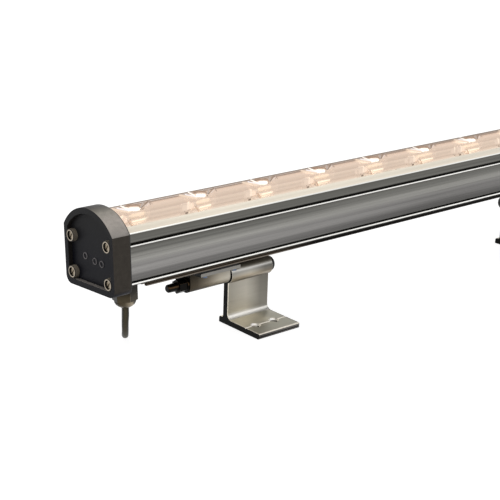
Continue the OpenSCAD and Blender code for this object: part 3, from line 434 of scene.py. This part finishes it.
# P falls back with depth and Q rises with it, so that glints line up from the photo's side
LED_SLANT = -0.8
LED_RISE = 0.3
TRAY_LOW = 36
TRAY_SPAN = 20
# Painted glow of the plastic by height, in lighter and darker stripes
TRAY_LEVELS = [
    (37.0, (0.66, 0.52, 0.42)), (38.6, (0.72, 0.62, 0.52)), (39.6, (0.58, 0.46, 0.37)), (40.6, (0.52, 0.41, 0.33)),
    (42.3, (0.62, 0.50, 0.41)), (44.0, (0.55, 0.44, 0.36)), (45.4, (0.66, 0.54, 0.44)), (47.2, (0.52, 0.41, 0.34)),
    (48.6, (0.60, 0.48, 0.39)), (50.0, (0.65, 0.52, 0.43)), (51.6, (0.62, 0.49, 0.40)), (53.0, (0.55, 0.42, 0.34)),
    (54.5, (0.50, 0.38, 0.30)),
]


def led_place(t):
    """Q, and the place (P, Q) beside the nearest light point: P along the light, Q upwards, in millimetres."""
    x, y, z = parts_of(t, fixture_place(t))
    slant = math_node(t, "MULTIPLY_ADD", y, LED_SLANT, x)
    shifted = math_node(t, "MULTIPLY_ADD", slant, 1000, LED_PITCH * LED_COUNT / 2 - LED_SHIFT)
    wrapped = math_node(t, "FLOORED_MODULO", shifted, LED_PITCH)
    p = math_node(t, "SUBTRACT", wrapped, LED_PITCH / 2)
    q = math_node(t, "MULTIPLY", math_node(t, "MULTIPLY_ADD", y, LED_RISE, z), 1000)
    return q, flat_place(t, p, q)


def cover_material():
    """Clear cover with a warm haze, lines along it, grey and brown painted shade where it is seen flat, and glowing
    painted glints.
    """
    m, t, out = new_material("clear_cover")
    lines = scaled_noise(t, fixture_place(t), (4, 700, 700), 3)
    facing = add(t, "ShaderNodeLayerWeight", {"Blend": 0.5}).outputs["Facing"]
    # Painted shade where the cover is seen flat, in grey and brown
    base = ramp(t, facing, [
        (0.64, (0.70, 0.56, 0.46)), (0.75, (0.66, 0.48, 0.38)), (0.79, (0.58, 0.40, 0.30)),
        (0.825, (0.46, 0.37, 0.31)), (0.85, (0.30, 0.24, 0.20)), (0.88, (0.28, 0.23, 0.20)),
        (0.92, (0.38, 0.33, 0.29)),
    ])
    base = mix_colour(t, 0.25, base, ramp(t, lines, [(0.35, 0.8), (0.65, 1.0)]), "MULTIPLY")
    alpha = ramp(t, facing, [(0.0, 0.08), (0.55, 0.10), (0.72, 0.14), (0.79, 0.35), (0.825, 0.80), (0.85, 0.95)])
    _, flat = led_place(t)
    glow = (0.0, 0.0, 0.0)
    # Painted glints that glow on the cover, over a dark base
    for a, b, half, soft, colour in GLINTS:
        if max(a[1], b[1]) > GLINT_ON_COVER:
            mask = streak(t, flat, a, b, half, soft)
            glow = mix_colour(t, mask, glow, tuple(c * COVER_GLINT_LEVEL for c in colour))
            base = mix_colour(t, mask, base, (0.08, 0.065, 0.055))
            alpha = math_node(t, "MAXIMUM", alpha, mask)
    principled(t, out, {
        "Base Color": base, "Roughness": ramp(t, lines, [(0.3, 0.10), (0.7, 0.16)]), "Alpha": alpha,
        "Normal": bumps(t, lines, 0.1, 0.05), "IOR": 1.08, "Specular IOR Level": 0.0,
        "Emission Color": glow, "Emission Strength": 1.0,
    })
    return m


def lit_material(name, base, clear=None):
    """Plastic beside the light points: it glows by its height, with glints of the light points on it."""
    m, t, out = new_material(name)
    q, flat = led_place(t)
    rise = math_node(t, "MULTIPLY", math_node(t, "SUBTRACT", q, TRAY_LOW), 1 / TRAY_SPAN)
    glow = ramp(t, rise, [(level - TRAY_LOW, colour) for level, colour in TRAY_LEVELS], TRAY_SPAN)
    grain = scaled_noise(t, fixture_place(t), (14, 500, 500), 3)
    glow = mix_colour(t, 0.5, glow, ramp(t, grain, [(0.3, 0.9), (0.7, 1.08)]), "MULTIPLY")
    seen = 0.0
    # Painted glints of the light points on the plastic
    for a, b, half, soft, colour in GLINTS:
        mask = streak(t, flat, a, b, half, soft)
        glow = mix_colour(t, mask, glow, colour)
        seen = math_node(t, "MAXIMUM", seen, mask)
    ins = {
        "Base Color": base, "Roughness": ramp(t, grain, [(0.3, 0.25), (0.7, 0.38)]),
        "Normal": bumps(t, grain, 0.1, 0.04), "Specular IOR Level": 0.15,
        "Emission Color": glow, "Emission Strength": 1.0,
    }
    if clear is not None:
        ins["Alpha"] = math_node(t, "MAXIMUM", seen, clear)
    principled(t, out, ins)
    return m


def led_material():
    m, t, out = new_material("led_package")
    grain = scaled_noise(t, object_place(t), (1500, 1500, 1500), 2)
    colour = ramp(t, grain, [(0.3, (1.0, 0.86, 0.62)), (0.7, (1.0, 0.93, 0.75))])
    principled(t, out, {"Base Color": colour, "Roughness": 0.3, "Emission Color": colour, "Emission Strength": 6.0})
    return m


# ---------------------------------------------------------------- end caps
# Places on the end caps, each as the two ends of a soft step or band
SIDE_SHADE = (-20, -12)
CAP_FOOT = (5, 2)
ARCH_START = (38, 40)
CAP_LEDGE_TOP = (14, 10)
BOSS_EDGE = (5.0, 4.7)
RING_BAND = (1.75, 2.45)
CUP_SPAN = 5


def screw_distance(t, y, z):
    """Distance from the axis of the nearest cap screw, in metres."""
    across = math_node(t, "SUBTRACT", absolute(t, y), CAP_SCREW_Y * MM)
    upper = math_node(t, "GREATER_THAN", z, CAP_MIDDLE_Z * MM)
    centre = math_node(t, "MULTIPLY_ADD", upper, (CAP_SCREW_HIGH_Z - CAP_SCREW_LOW_Z) * MM, CAP_SCREW_LOW_Z * MM)
    flat = flat_place(t, across, math_node(t, "SUBTRACT", z, centre))
    return add(t, "ShaderNodeVectorMath", {0: flat}, operation="LENGTH").outputs["Value"]


def cap_paint(t):
    """Powder coat, painted with light and shade: black face, darker towards its foot, brown black sides, soft light
    on the front of the arch, highlights on ledges and bosses, lighter rings.
    """
    _, y, z = parts_of(t, fixture_place(t))
    nx, _, nz = object_normal(t)
    side_on = absolute(t, nx)
    # Painted soft light on the front of the arch, fading towards the back
    arch = ramp(t, share_of(t, y, SECTION_SPAN, 0.5), [
        (0.02, (0.30, 0.28, 0.26)), (0.10, (0.37, 0.34, 0.31)), (0.17, (0.38, 0.345, 0.315)),
        (0.30, (0.27, 0.25, 0.22)), (0.38, (0.145, 0.135, 0.115)), (0.46, (0.072, 0.067, 0.061)),
        (0.54, (0.042, 0.039, 0.037)), (0.7, (0.028, 0.026, 0.025)),
    ])
    # Painted shade on the sides: brown at the front, black behind, bluish black at the foot
    side = mix_colour(t, step_mm(t, y, *SIDE_SHADE), (0.060, 0.052, 0.044), (0.016, 0.014, 0.013))
    side = mix_colour(t, step_mm(t, z, *CAP_FOOT), side, (0.012, 0.012, 0.018))
    on_arch = product(t, smooth_step(t, nz, 0.25, 0.60), step_mm(t, z, *ARCH_START))
    base = mix_colour(t, on_arch, side, arch)
    # Painted highlight on the upward faces of the lower ledges
    ledge = product(t, smooth_step(t, nz, 0.4, 0.7), step_mm(t, z, *CAP_LEDGE_TOP))
    base = mix_colour(t, ledge, base, (0.17, 0.155, 0.145))
    # Face darker towards its foot
    face = ramp(t, share_of(t, z, SECTION_SPAN), [
        (0.0, (0.006, 0.006, 0.009)), (0.35, (0.007, 0.0072, 0.0105)), (0.8, (0.016, 0.016, 0.017)),
    ])
    base = mix_colour(t, smooth_step(t, side_on, 0.70, 0.90), base, face)
    # Painted highlight on the sides of the screw bosses
    boss = product(t, step_mm(t, screw_distance(t, y, z), *BOSS_EDGE), smooth_step(t, side_on, 0.8, 0.6))
    base = mix_colour(t, boss, base, (0.14, 0.12, 0.095))
    spot = flat_place(t, y, z)
    for ring_y, ring_z in CAP_RINGS:
        away = add(t, "ShaderNodeVectorMath", {0: spot, 1: (ring_y * MM, ring_z * MM, 0)},
                   operation="DISTANCE").outputs["Value"]
        base = mix_colour(t, band_mm(t, away, *RING_BAND, 0.08), base, (0.15, 0.14, 0.145))
    return base


def cap_screw_paint(t):
    """Painted highlight on the cup rim, painted shade in the gap inside it, tan screw head."""
    _, y, z = parts_of(t, fixture_place(t))
    return ramp(t, share_of(t, screw_distance(t, y, z), CUP_SPAN), [
        (0.0, (0.28, 0.23, 0.16)), (0.46, (0.34, 0.28, 0.20)), (0.53, (0.20, 0.16, 0.12)),
        (0.545, (0.008, 0.007, 0.006)), (0.645, (0.008, 0.007, 0.006)), (0.66, (0.60, 0.52, 0.41)),
        (0.71, (0.52, 0.45, 0.35)), (0.75, (0.20, 0.17, 0.13)), (0.82, (0.14, 0.12, 0.095)),
    ])


# ---------------------------------------------------------------- bracket and hinge
# Painted light and shade on the foot and web by slope, with a painted highlight on the fillet
FOOT_BY_SLOPE = [
    (0.0, grey(0.32)), (0.25, grey(0.28)), (0.42, grey(0.10)), (0.50, (0.65, 0.61, 0.525)),
    (0.66, (0.66, 0.63, 0.56)), (0.76, (1.0, 0.98, 0.93)), (0.93, (1.0, 0.97, 0.92)),
    (0.985, (0.52, 0.50, 0.42)), (1.0, (0.475, 0.455, 0.375)),
]
# Painted light and shade on the knuckle by slope, with a painted highlight along it
KNUCKLE_BY_SLOPE = [
    (0.0, grey(0.05)), (0.22, (0.38, 0.33, 0.26)), (0.38, (0.76, 0.66, 0.51)), (0.50, (0.68, 0.63, 0.54)),
    (0.62, (0.56, 0.54, 0.49)), (0.73, (0.90, 0.89, 0.85)), (0.80, (0.50, 0.48, 0.43)),
    (0.86, (0.22, 0.205, 0.17)), (1.0, (0.07, 0.062, 0.045)),
]
# The foot's front face by height in painted shade, with a dark line of painted shade above the floor and one at its
# middle
FOOT_FACE = [
    (0.0, grey(0.008)), (0.09, grey(0.02)), (0.14, grey(0.085)), (0.35, grey(0.085)), (0.38, grey(0.02)),
    (0.50, grey(0.02)), (0.54, grey(0.13)), (0.86, grey(0.15)),
]
FOOT_FACE_SPAN = 5
# Places on the bracket, each as the two ends of a soft step or band
KNUCKLE_START = (31, 34)
FOOT_TOP = (8, 6)
FOOT_NEAR_WEB = (-27, -14)
CENTRE_GROOVE = (-21.25, -19.9)
FOOT_EDGE = (3.7, 3.95)
WEB_TOP = (36, 32)
TOE_RIM = (-34.6, -34.9)
TOE_FRONT = (-35.3, -35.6)
RIM_FOOT = (3.85, 4.05)


def bracket_paint(t):
    """Champagne metal, painted with light and shade: bright fillet and edges, grooved front face in shade, sawn
    ends nearly black.
    """
    x, y, z = parts_of(t, object_place(t))
    nx, _, nz = object_normal(t)
    along = share_of(t, absolute(t, x), -BRACKET_SPAN, BRACKET_X / BRACKET_SPAN + 0.5)
    slope = facing_up(t, nz)
    low = step_mm(t, z, *FOOT_TOP)
    base = mix_colour(t, step_mm(t, z, *KNUCKLE_START), ramp(t, slope, FOOT_BY_SLOPE),
                      ramp(t, slope, KNUCKLE_BY_SLOPE))

    # Painted shade on the web, darkest towards its inner end and lighter low down
    shade = ramp(t, along, [(0.0, 0.68), (0.30, 0.86), (0.45, 0.90), (0.62, 0.66), (0.80, 0.38), (1.0, 0.34)])
    rise = ramp(t, share_of(t, z, BRACKET_SPAN), [(0.15, 1.15), (0.45, 1.0), (0.78, 0.80)])
    web = between(t, nz, -0.4, 0.4, 0.15)
    base = mix_colour(t, web, base, tint(t, tint(t, base, shade), rise))
    # Painted light on the foot's top near the web
    near = product(t, step_mm(t, y, *FOOT_NEAR_WEB), smooth_step(t, nz, 0.9, 0.99), low,
                   smooth_step(t, along, 0.85, 0.55))
    base = mix_colour(t, near, base, tint(t, base, (1.75, 1.70, 1.65)))
    # Painted highlight along the foot's centre groove
    groove = product(t, band_mm(t, y, *CENTRE_GROOVE, 0.3), smooth_step(t, nz, 0.3, 0.6), low)
    base = mix_colour(t, math_node(t, "MULTIPLY", groove, 0.85), base, (1.0, 0.93, 0.81))

    # Painted highlights on the outer edge and toe rim, painted shade on the inner edge and front face
    above = step_mm(t, z, *FOOT_EDGE)
    left_edge = product(t, smooth_step(t, along, 0.030, 0.020), above, step_mm(t, z, *WEB_TOP))
    base = mix_colour(t, left_edge, base, (0.95, 0.88, 0.75))
    right_edge = product(t, smooth_step(t, along, 0.970, 0.980), above, smooth_step(t, nz, 0.5, 0.9), low)
    base = mix_colour(t, right_edge, base, (0.13, 0.12, 0.09))
    rim = product(t, step_mm(t, y, *TOE_RIM), step_mm(t, z, *RIM_FOOT))
    base = mix_colour(t, rim, base, (1.0, 0.93, 0.82))
    front = product(t, step_mm(t, y, *TOE_FRONT), step_mm(t, z, *RIM_FOOT[::-1]))
    face = tint(t, ramp(t, share_of(t, z, FOOT_FACE_SPAN), FOOT_FACE),
                ramp(t, along, [(0.0, 0.5), (0.3, 0.8), (1.0, 1.1)]))
    base = mix_colour(t, front, base, face)

    # Painted highlights on the rounded edges, and painted shade on the sawn ends
    side_on = absolute(t, nx)
    bevels = product(t, between(t, side_on, 0.25, 0.90, 0.06), above)
    base = mix_colour(t, bevels, base, (1.0, 0.94, 0.84))
    ends = smooth_step(t, side_on, 0.93, 0.98)
    return mix_colour(t, ends, base, (0.002, 0.0018, 0.0014)), math_node(t, "MULTIPLY_ADD", ends, -0.7, 0.7)


# Mask of the sawn ends, which get painted shade
def sawn_ends(t, nx):
    return smooth_step(t, absolute(t, nx), 0.80, 0.95)


def base_paint(t):
    """Fixed knuckle, painted with light and shade: brown and dark at its outer end, lighter and greyer towards the
    bracket, darker by slope and towards its top.
    """
    x, _, z = parts_of(t, object_place(t))
    nx, _, nz = object_normal(t)
    along = share_of(t, absolute(t, x), -KNUCKLE_SPAN, BRACKET_X / KNUCKLE_SPAN + 1.0)
    base = ramp(t, along, [
        (0.0, (0.060, 0.048, 0.032)), (0.14, (0.085, 0.070, 0.050)), (0.30, (0.24, 0.205, 0.155)),
        (0.48, (0.55, 0.50, 0.41)), (0.64, (0.62, 0.58, 0.50)),
    ])
    slope = ramp(t, facing_up(t, nz), [(0.1, 0.35), (0.35, 1.0), (0.5, 1.0), (0.8, 0.8), (1.0, 0.5)])
    rise = ramp(t, share_of(t, z, KNUCKLE_SPAN), [(0.56, 1.05), (0.66, 0.95), (0.72, 0.72), (0.80, 0.40)])
    return mix_colour(t, sawn_ends(t, nx), tint(t, tint(t, base, slope), rise), (0.008, 0.0075, 0.007))


# Grey plate with painted shade on its sawn ends
def plate_paint(t):
    nx, _, _ = object_normal(t)
    return mix_colour(t, sawn_ends(t, nx), (0.26, 0.25, 0.23), (0.012, 0.012, 0.012))


def bolt_paint(t):
    """Black oxide with a warm brown light along its upper front."""
    _, ny, nz = object_normal(t)
    light = product(t, smooth_step(t, ny, 0.1, -0.3), between(t, nz, 0.25, 0.50, 0.20))
    return mix_colour(t, light, (0.004, 0.0035, 0.003), (0.13, 0.075, 0.034))


def nut_paint(t):
    """Black, with one small painted highlight on the upper front of its dome."""
    nx, ny, nz = object_normal(t)
    towards = math_node(t, "MULTIPLY_ADD", ny, -0.45, math_node(t, "MULTIPLY", nz, 0.77))
    towards = math_node(t, "MULTIPLY_ADD", absolute(t, nx), 0.45, towards)
    return mix_colour(t, smooth_step(t, towards, 0.955, 0.985), (0.006, 0.006, 0.006), (0.95, 0.95, 0.95))


# ---------------------------------------------------------------- gland and lead
# To the right as the photo sees it, in the row frame's X and Y
PHOTO_RIGHT = (0.752, -0.659)
GLAND_SPAN = 20


def turned_paint(t, stops):
    """Painted light and shade around an upright form, from its left side over its front to its right side."""
    nx, ny, _ = object_normal(t)
    turn = math_node(t, "ADD", math_node(t, "MULTIPLY", nx, PHOTO_RIGHT[0]),
                     math_node(t, "MULTIPLY", ny, PHOTO_RIGHT[1]))
    return ramp(t, math_node(t, "MULTIPLY_ADD", turn, 0.5, 0.5), stops)


def gland_paint(t):
    """Turned nickel: painted shade at its sides, a warm painted highlight right of the middle, painted shade up
    under the cap.
    """
    _, _, z = parts_of(t, fixture_place(t))
    fall = ramp(t, share_of(t, z, GLAND_SPAN, 1.0), [(0.30, 1.5), (0.55, 1.0), (0.68, 0.45), (0.85, 0.30)])
    return tint(t, fall, turned_paint(t, [
        (0.0, (0.006, 0.006, 0.006)), (0.15, (0.014, 0.012, 0.009)), (0.35, (0.045, 0.034, 0.020)),
        (0.55, (0.06, 0.048, 0.030)), (0.72, (0.17, 0.14, 0.10)), (0.84, (0.26, 0.22, 0.16)),
        (0.95, (0.02, 0.018, 0.015)),
    ]))


# Painted light and shade round the gland's hexagon, lighter on its front
def hexagon_paint(t):
    return turned_paint(t, [
        (0.0, (0.010, 0.009, 0.008)), (0.30, (0.022, 0.018, 0.014)), (0.50, (0.038, 0.030, 0.020)),
        (0.75, (0.045, 0.035, 0.023)), (1.0, (0.010, 0.009, 0.008)),
    ])


# Painted light and shade round the lead, with a painted highlight right of the middle
def lead_paint(t):
    return turned_paint(t, [
        (0.0, (0.010, 0.009, 0.006)), (0.25, (0.040, 0.033, 0.018)), (0.55, (0.085, 0.070, 0.040)),
        (0.80, (0.045, 0.037, 0.020)), (1.0, (0.008, 0.007, 0.005)),
    ])


# ---------------------------------------------------------------- materials of the pieces
seal_rubber = surface("seal_rubber", (0.02, 0.02, 0.02), 0.6, spread=0.2)
# The silicone seals glow: painted light from the light points
seal_silicone = surface("seal_silicone", (0.60, 0.50, 0.40), 0.45, spread=0.05, grain=(8, 600, 600),
                        glow=(0.22, 0.17, 0.13))
cap_coat = surface("cap_powder_coat", None, 0.45, spread=0.14, grain=(2200, 2200, 2200), bump=0.25, bump_mm=0.06,
                   specular=0.07, patch=(260, 260, 260), rough_spread=0.06, paint=cap_paint)
cap_screw_steel = surface("cap_screw_steel", None, 0.32, metal=0.7, grain=(1500, 1500, 1500),
                          paint=cap_screw_paint)
screw_steel = surface("screw_steel", (0.55, 0.55, 0.54), 0.3, metal=1.0)
board_white = surface("board_white", (0.75, 0.70, 0.62), 0.4, spread=0.05)
socket_plastic = surface("socket_plastic", (0.85, 0.80, 0.70), 0.4, spread=0.05)
wire_red = surface("wire_red", (0.50, 0.04, 0.03), 0.45)
board_green = surface("board_green", (0.03, 0.16, 0.06), 0.35, grain=(300, 900, 900))
capacitor_sleeve = surface("capacitor_sleeve", (0.03, 0.035, 0.09), 0.3)
coil_copper = surface("coil_copper", (0.55, 0.24, 0.10), 0.35, metal=0.9, grain=(200, 200, 2500), bump=0.5)
chip_black = surface("chip_black", (0.02, 0.02, 0.02), 0.5)
terminal_green = surface("terminal_green", (0.03, 0.22, 0.07), 0.45)
standoff_brass = surface("standoff_brass", (0.65, 0.48, 0.20), 0.3, metal=1.0)
pad_grey = surface("thermal_pad", (0.32, 0.38, 0.42), 0.7)
gland_metal = surface("gland_metal", None, 0.38, metal=0.7, spread=0.08, grain=(500, 500, 900), specular=0.2,
                      paint=gland_paint)
gland_hexagon = surface("gland_hexagon", None, 0.40, metal=0.5, specular=0.15, spread=0.08,
                        grain=(500, 500, 900), paint=hexagon_paint)
lead_rubber = surface("lead_rubber", None, 0.45, grain=(700, 700, 700), bump=0.3, specular=0.2, paint=lead_paint)
boot_rubber = surface("boot_rubber", (0.040, 0.034, 0.022), 0.5, spread=0.15, grain=(700, 700, 700), bump=0.3,
                      specular=0.3)
plug_plastic = surface("plug_plastic", (0.02, 0.02, 0.022), 0.42, spread=0.15)
ring_orange = surface("ring_orange", (0.55, 0.12, 0.03), 0.5)
pin_gold = surface("pin_gold", (0.80, 0.58, 0.22), 0.22, metal=1.0)
bracket_metal = surface("bracket_metal", None, 0.42, metal=0.7, spread=0.05, grain=(60, 500, 500), bump=0.08,
                        bump_mm=0.03, specular=0.07, paint=bracket_paint)
knuckle_metal = surface("knuckle_metal", None, 0.42, metal=0.7, spread=0.06, grain=(60, 500, 500), bump=0.08,
                        bump_mm=0.03, specular=0.07, paint=base_paint)
plate_metal = surface("plate_metal", None, 0.38, metal=0.7, spread=0.08, grain=(30, 500, 500), bump=0.1,
                      bump_mm=0.03, specular=0.2, paint=plate_paint)
pad_black = surface("pad_black", (0.012, 0.012, 0.012), 0.6)
zinc = surface("zinc_plate", (0.10, 0.13, 0.19), 0.28, metal=1.0, spread=0.14)
black_oxide = surface("black_oxide", None, 0.34, metal=0.6, spread=0.15, grain=(600, 1500, 1500), specular=0.12,
                      paint=bolt_paint)
nut_black = surface("nut_black", None, 0.30, metal=0.3, spread=0.15, grain=(600, 1500, 1500), specular=0.3,
                    paint=nut_paint)
washer_black = surface("washer_black", (0.012, 0.012, 0.012), 0.55, specular=0.2)

mats = {
    "housing": housing_material(),
    "lens_cover": cover_material(),
    "light_tray": lit_material("light_tray", (0.16, 0.14, 0.12)),
    "optic_lenses": lit_material("collimator", (0.50, 0.40, 0.33), clear=0.10),
    "optic_holders": lit_material("holder_plastic", (0.22, 0.19, 0.16)),
    "leds": led_material(),
    "front_lens_seal": seal_silicone, "rear_lens_seal": seal_silicone,
    "gland_o_ring": seal_rubber, "gland_seal": seal_rubber,
    "board_screws": screw_steel, "driver_screws": screw_steel,
    "thermal_pad": pad_grey, "board_plugs": socket_plastic, "board_link": wire_red,
    "driver_board": board_green, "driver_capacitors": capacitor_sleeve, "driver_coils": coil_copper,
    "driver_chips": chip_black, "driver_terminals": terminal_green, "driver_standoffs": standoff_brass,
    "driver_output_wires": wire_red, "driver_input_wires": lead_rubber,
    "gland_body": gland_hexagon, "gland_locknut": gland_metal, "gland_nut": gland_metal,
    "power_lead": lead_rubber, "plug_boot": boot_rubber, "plug_shell": plug_plastic,
    "plug_o_ring": ring_orange, "plug_coupling_nut": plug_plastic, "plug_pins": pin_gold,
}
for side in ("left", "right"):
    mats.update({
        f"{side}_end_cap": cap_coat, f"{side}_cap_gasket": seal_rubber, f"{side}_cap_screws": cap_screw_steel,
        f"{side}_led_board": board_white, f"{side}_hinge_base": knuckle_metal, f"{side}_clamp_plate": plate_metal,
        f"{side}_slide_pad": pad_black, f"{side}_clamp_screws": zinc, f"{side}_slot_nuts": screw_steel,
        f"{side}_base_screws": screw_steel, f"{side}_pivot_bolt": black_oxide,
        f"{side}_friction_washer": washer_black, f"{side}_end_nut": nut_black, f"{side}_bracket": bracket_metal,
    })

for name, obj in nodes.items():
    if not obj.material_slots:
        obj.data.materials.append(None)
    for s in obj.material_slots:
        s.material = mats[name]


# ---------------------------------------------------------------- rounded edges on the CAD pieces
WELD_DISTANCE = 2e-6  # metres
FLAT_ANGLE = math.radians(0.5)
SHARP_ANGLE = math.radians(30)
# Width of the rounded edges
EDGE_WIDTHS = {"housing": 0.15, "gland_body": 0.3, "gland_nut": 0.3, "plug_shell": 0.4, "plug_coupling_nut": 0.3}
SIDE_EDGE_WIDTHS = {
    "end_cap": 0.7, "bracket": 0.5, "clamp_plate": 0.3, "hinge_base": 0.35, "cap_screws": 0.3,
    "pivot_bolt": 0.3, "end_nut": 0.4,
}


def soften(name, width):
    """Rounds the sharp edges of a CAD piece for the light to catch."""
    obj = nodes[name]
    weld = obj.modifiers.new("weld", "WELD")
    weld.merge_threshold = WELD_DISTANCE
    flat = obj.modifiers.new("flat", "DECIMATE")
    flat.decimate_type = "DISSOLVE"
    flat.angle_limit = FLAT_ANGLE
    bevel = obj.modifiers.new("bevel", "BEVEL")
    bevel.width = width * MM
    bevel.segments = 2
    bevel.limit_method = "ANGLE"
    bevel.angle_limit = SHARP_ANGLE


for name, width in EDGE_WIDTHS.items():
    soften(name, width)
for side in ("left", "right"):
    for name, width in SIDE_EDGE_WIDTHS.items():
        soften(f"{side}_{name}", width)


# ---------------------------------------------------------------- power lead
def make_lead():
    route = [on_feet(GLAND_X, 0, GLAND_TIP_Z), on_feet(GLAND_X, 0, GLAND_TIP_Z - LEAD_STRAIGHT)]
    route += [Vector(p) * MM for p in LEAD_ROUTE]
    curve = bpy.data.curves.new("lead", "CURVE")
    curve.dimensions = "3D"
    curve.resolution_u = 6
    curve.bevel_depth = LEAD_D / 2 * MM
    curve.bevel_resolution = 5
    curve.use_fill_caps = True
    spline = curve.splines.new("BEZIER")
    spline.bezier_points.add(len(route) - 1)
    for point, place in zip(spline.bezier_points, route):
        point.co = place
        point.handle_left_type = point.handle_right_type = "AUTO"
    lead = bpy.data.objects.new("lead", curve)
    scene.collection.objects.link(lead)
    curve.materials.append(lead_rubber)
    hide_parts("power_lead")
    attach(lead, "fixture")


make_lead()

# ---------------------------------------------------------------- stage and light
# Metres and watts from here on
FLOOR_HALF = 6
FLOOR_Z = -0.0002
FLOOR_GLOW = 0.86
FLOOR_GREY = 0.32
WORLD_LIGHT = 0.70


def seen_directly(t):
    """1 where the camera, a glossy ray or a ray through glass meets the surface, and 0 for other light."""
    path = add(t, "ShaderNodeLightPath")
    seen = math_node(t, "MAXIMUM", path.outputs["Is Camera Ray"], path.outputs["Is Glossy Ray"])
    return math_node(t, "MAXIMUM", seen, path.outputs["Is Transmission Ray"])


def pale_material(name, glow, diffuse):
    """White to the camera, in gloss and through glass; it still takes the object's shadow."""
    m, t, out = new_material(name)
    strength = math_node(t, "MULTIPLY", seen_directly(t), glow)
    shine = add(t, "ShaderNodeEmission", {"Color": (1, 1, 1), "Strength": strength})
    matt = add(t, "ShaderNodeBsdfDiffuse", {"Color": (diffuse, diffuse, diffuse)})
    both = add(t, "ShaderNodeAddShader", {0: shine.outputs[0], 1: matt.outputs[0]})
    t.links.new(both.outputs[0], out.inputs[0])
    return m


def make_floor():
    mesh = bpy.data.meshes.new("floor")
    b = bmesh.new()
    bmesh.ops.create_grid(b, x_segments=1, y_segments=1, size=FLOOR_HALF)
    b.to_mesh(mesh)
    b.free()
    floor = bpy.data.objects.new("floor", mesh)
    floor.location = (0, 0, FLOOR_Z)
    scene.collection.objects.link(floor)
    mesh.materials.append(pale_material("floor_white", FLOOR_GLOW, FLOOR_GREY))


def make_world():
    """A soft world light, which shows as white where it is seen directly."""
    world = bpy.data.worlds.new("studio")
    scene.world = world
    world.use_nodes = True
    t = world.node_tree
    t.nodes.clear()
    out = t.nodes.new("ShaderNodeOutputWorld")
    rest = math_node(t, "MULTIPLY", seen_directly(t), 1 - WORLD_LIGHT)
    strength = math_node(t, "ADD", WORLD_LIGHT, rest)
    back = add(t, "ShaderNodeBackground", {"Color": (1, 1, 1), "Strength": strength})
    t.links.new(back.outputs[0], out.inputs[0])


def lamp(name, place, target, size, power, colour):
    data = bpy.data.lights.new(name, "AREA")
    data.shape = "RECTANGLE"
    data.size, data.size_y = size
    data.energy = power
    data.color = colour
    obj = bpy.data.objects.new(name, data)
    obj.location = place
    obj.rotation_euler = (Vector(target) - Vector(place)).to_track_quat("-Z", "Y").to_euler()
    scene.collection.objects.link(obj)


make_floor()
make_world()
lamp("overhead", (-0.1, 0.5, 1.5), (-0.1, 0, 0), (1.8, 1.2), 8, (1, 0.985, 0.95))
lamp("front_fill", (-0.9, -1.2, 0.9), (-0.1, 0, 0.05), (0.8, 0.8), 2.5, (1, 0.98, 0.95))
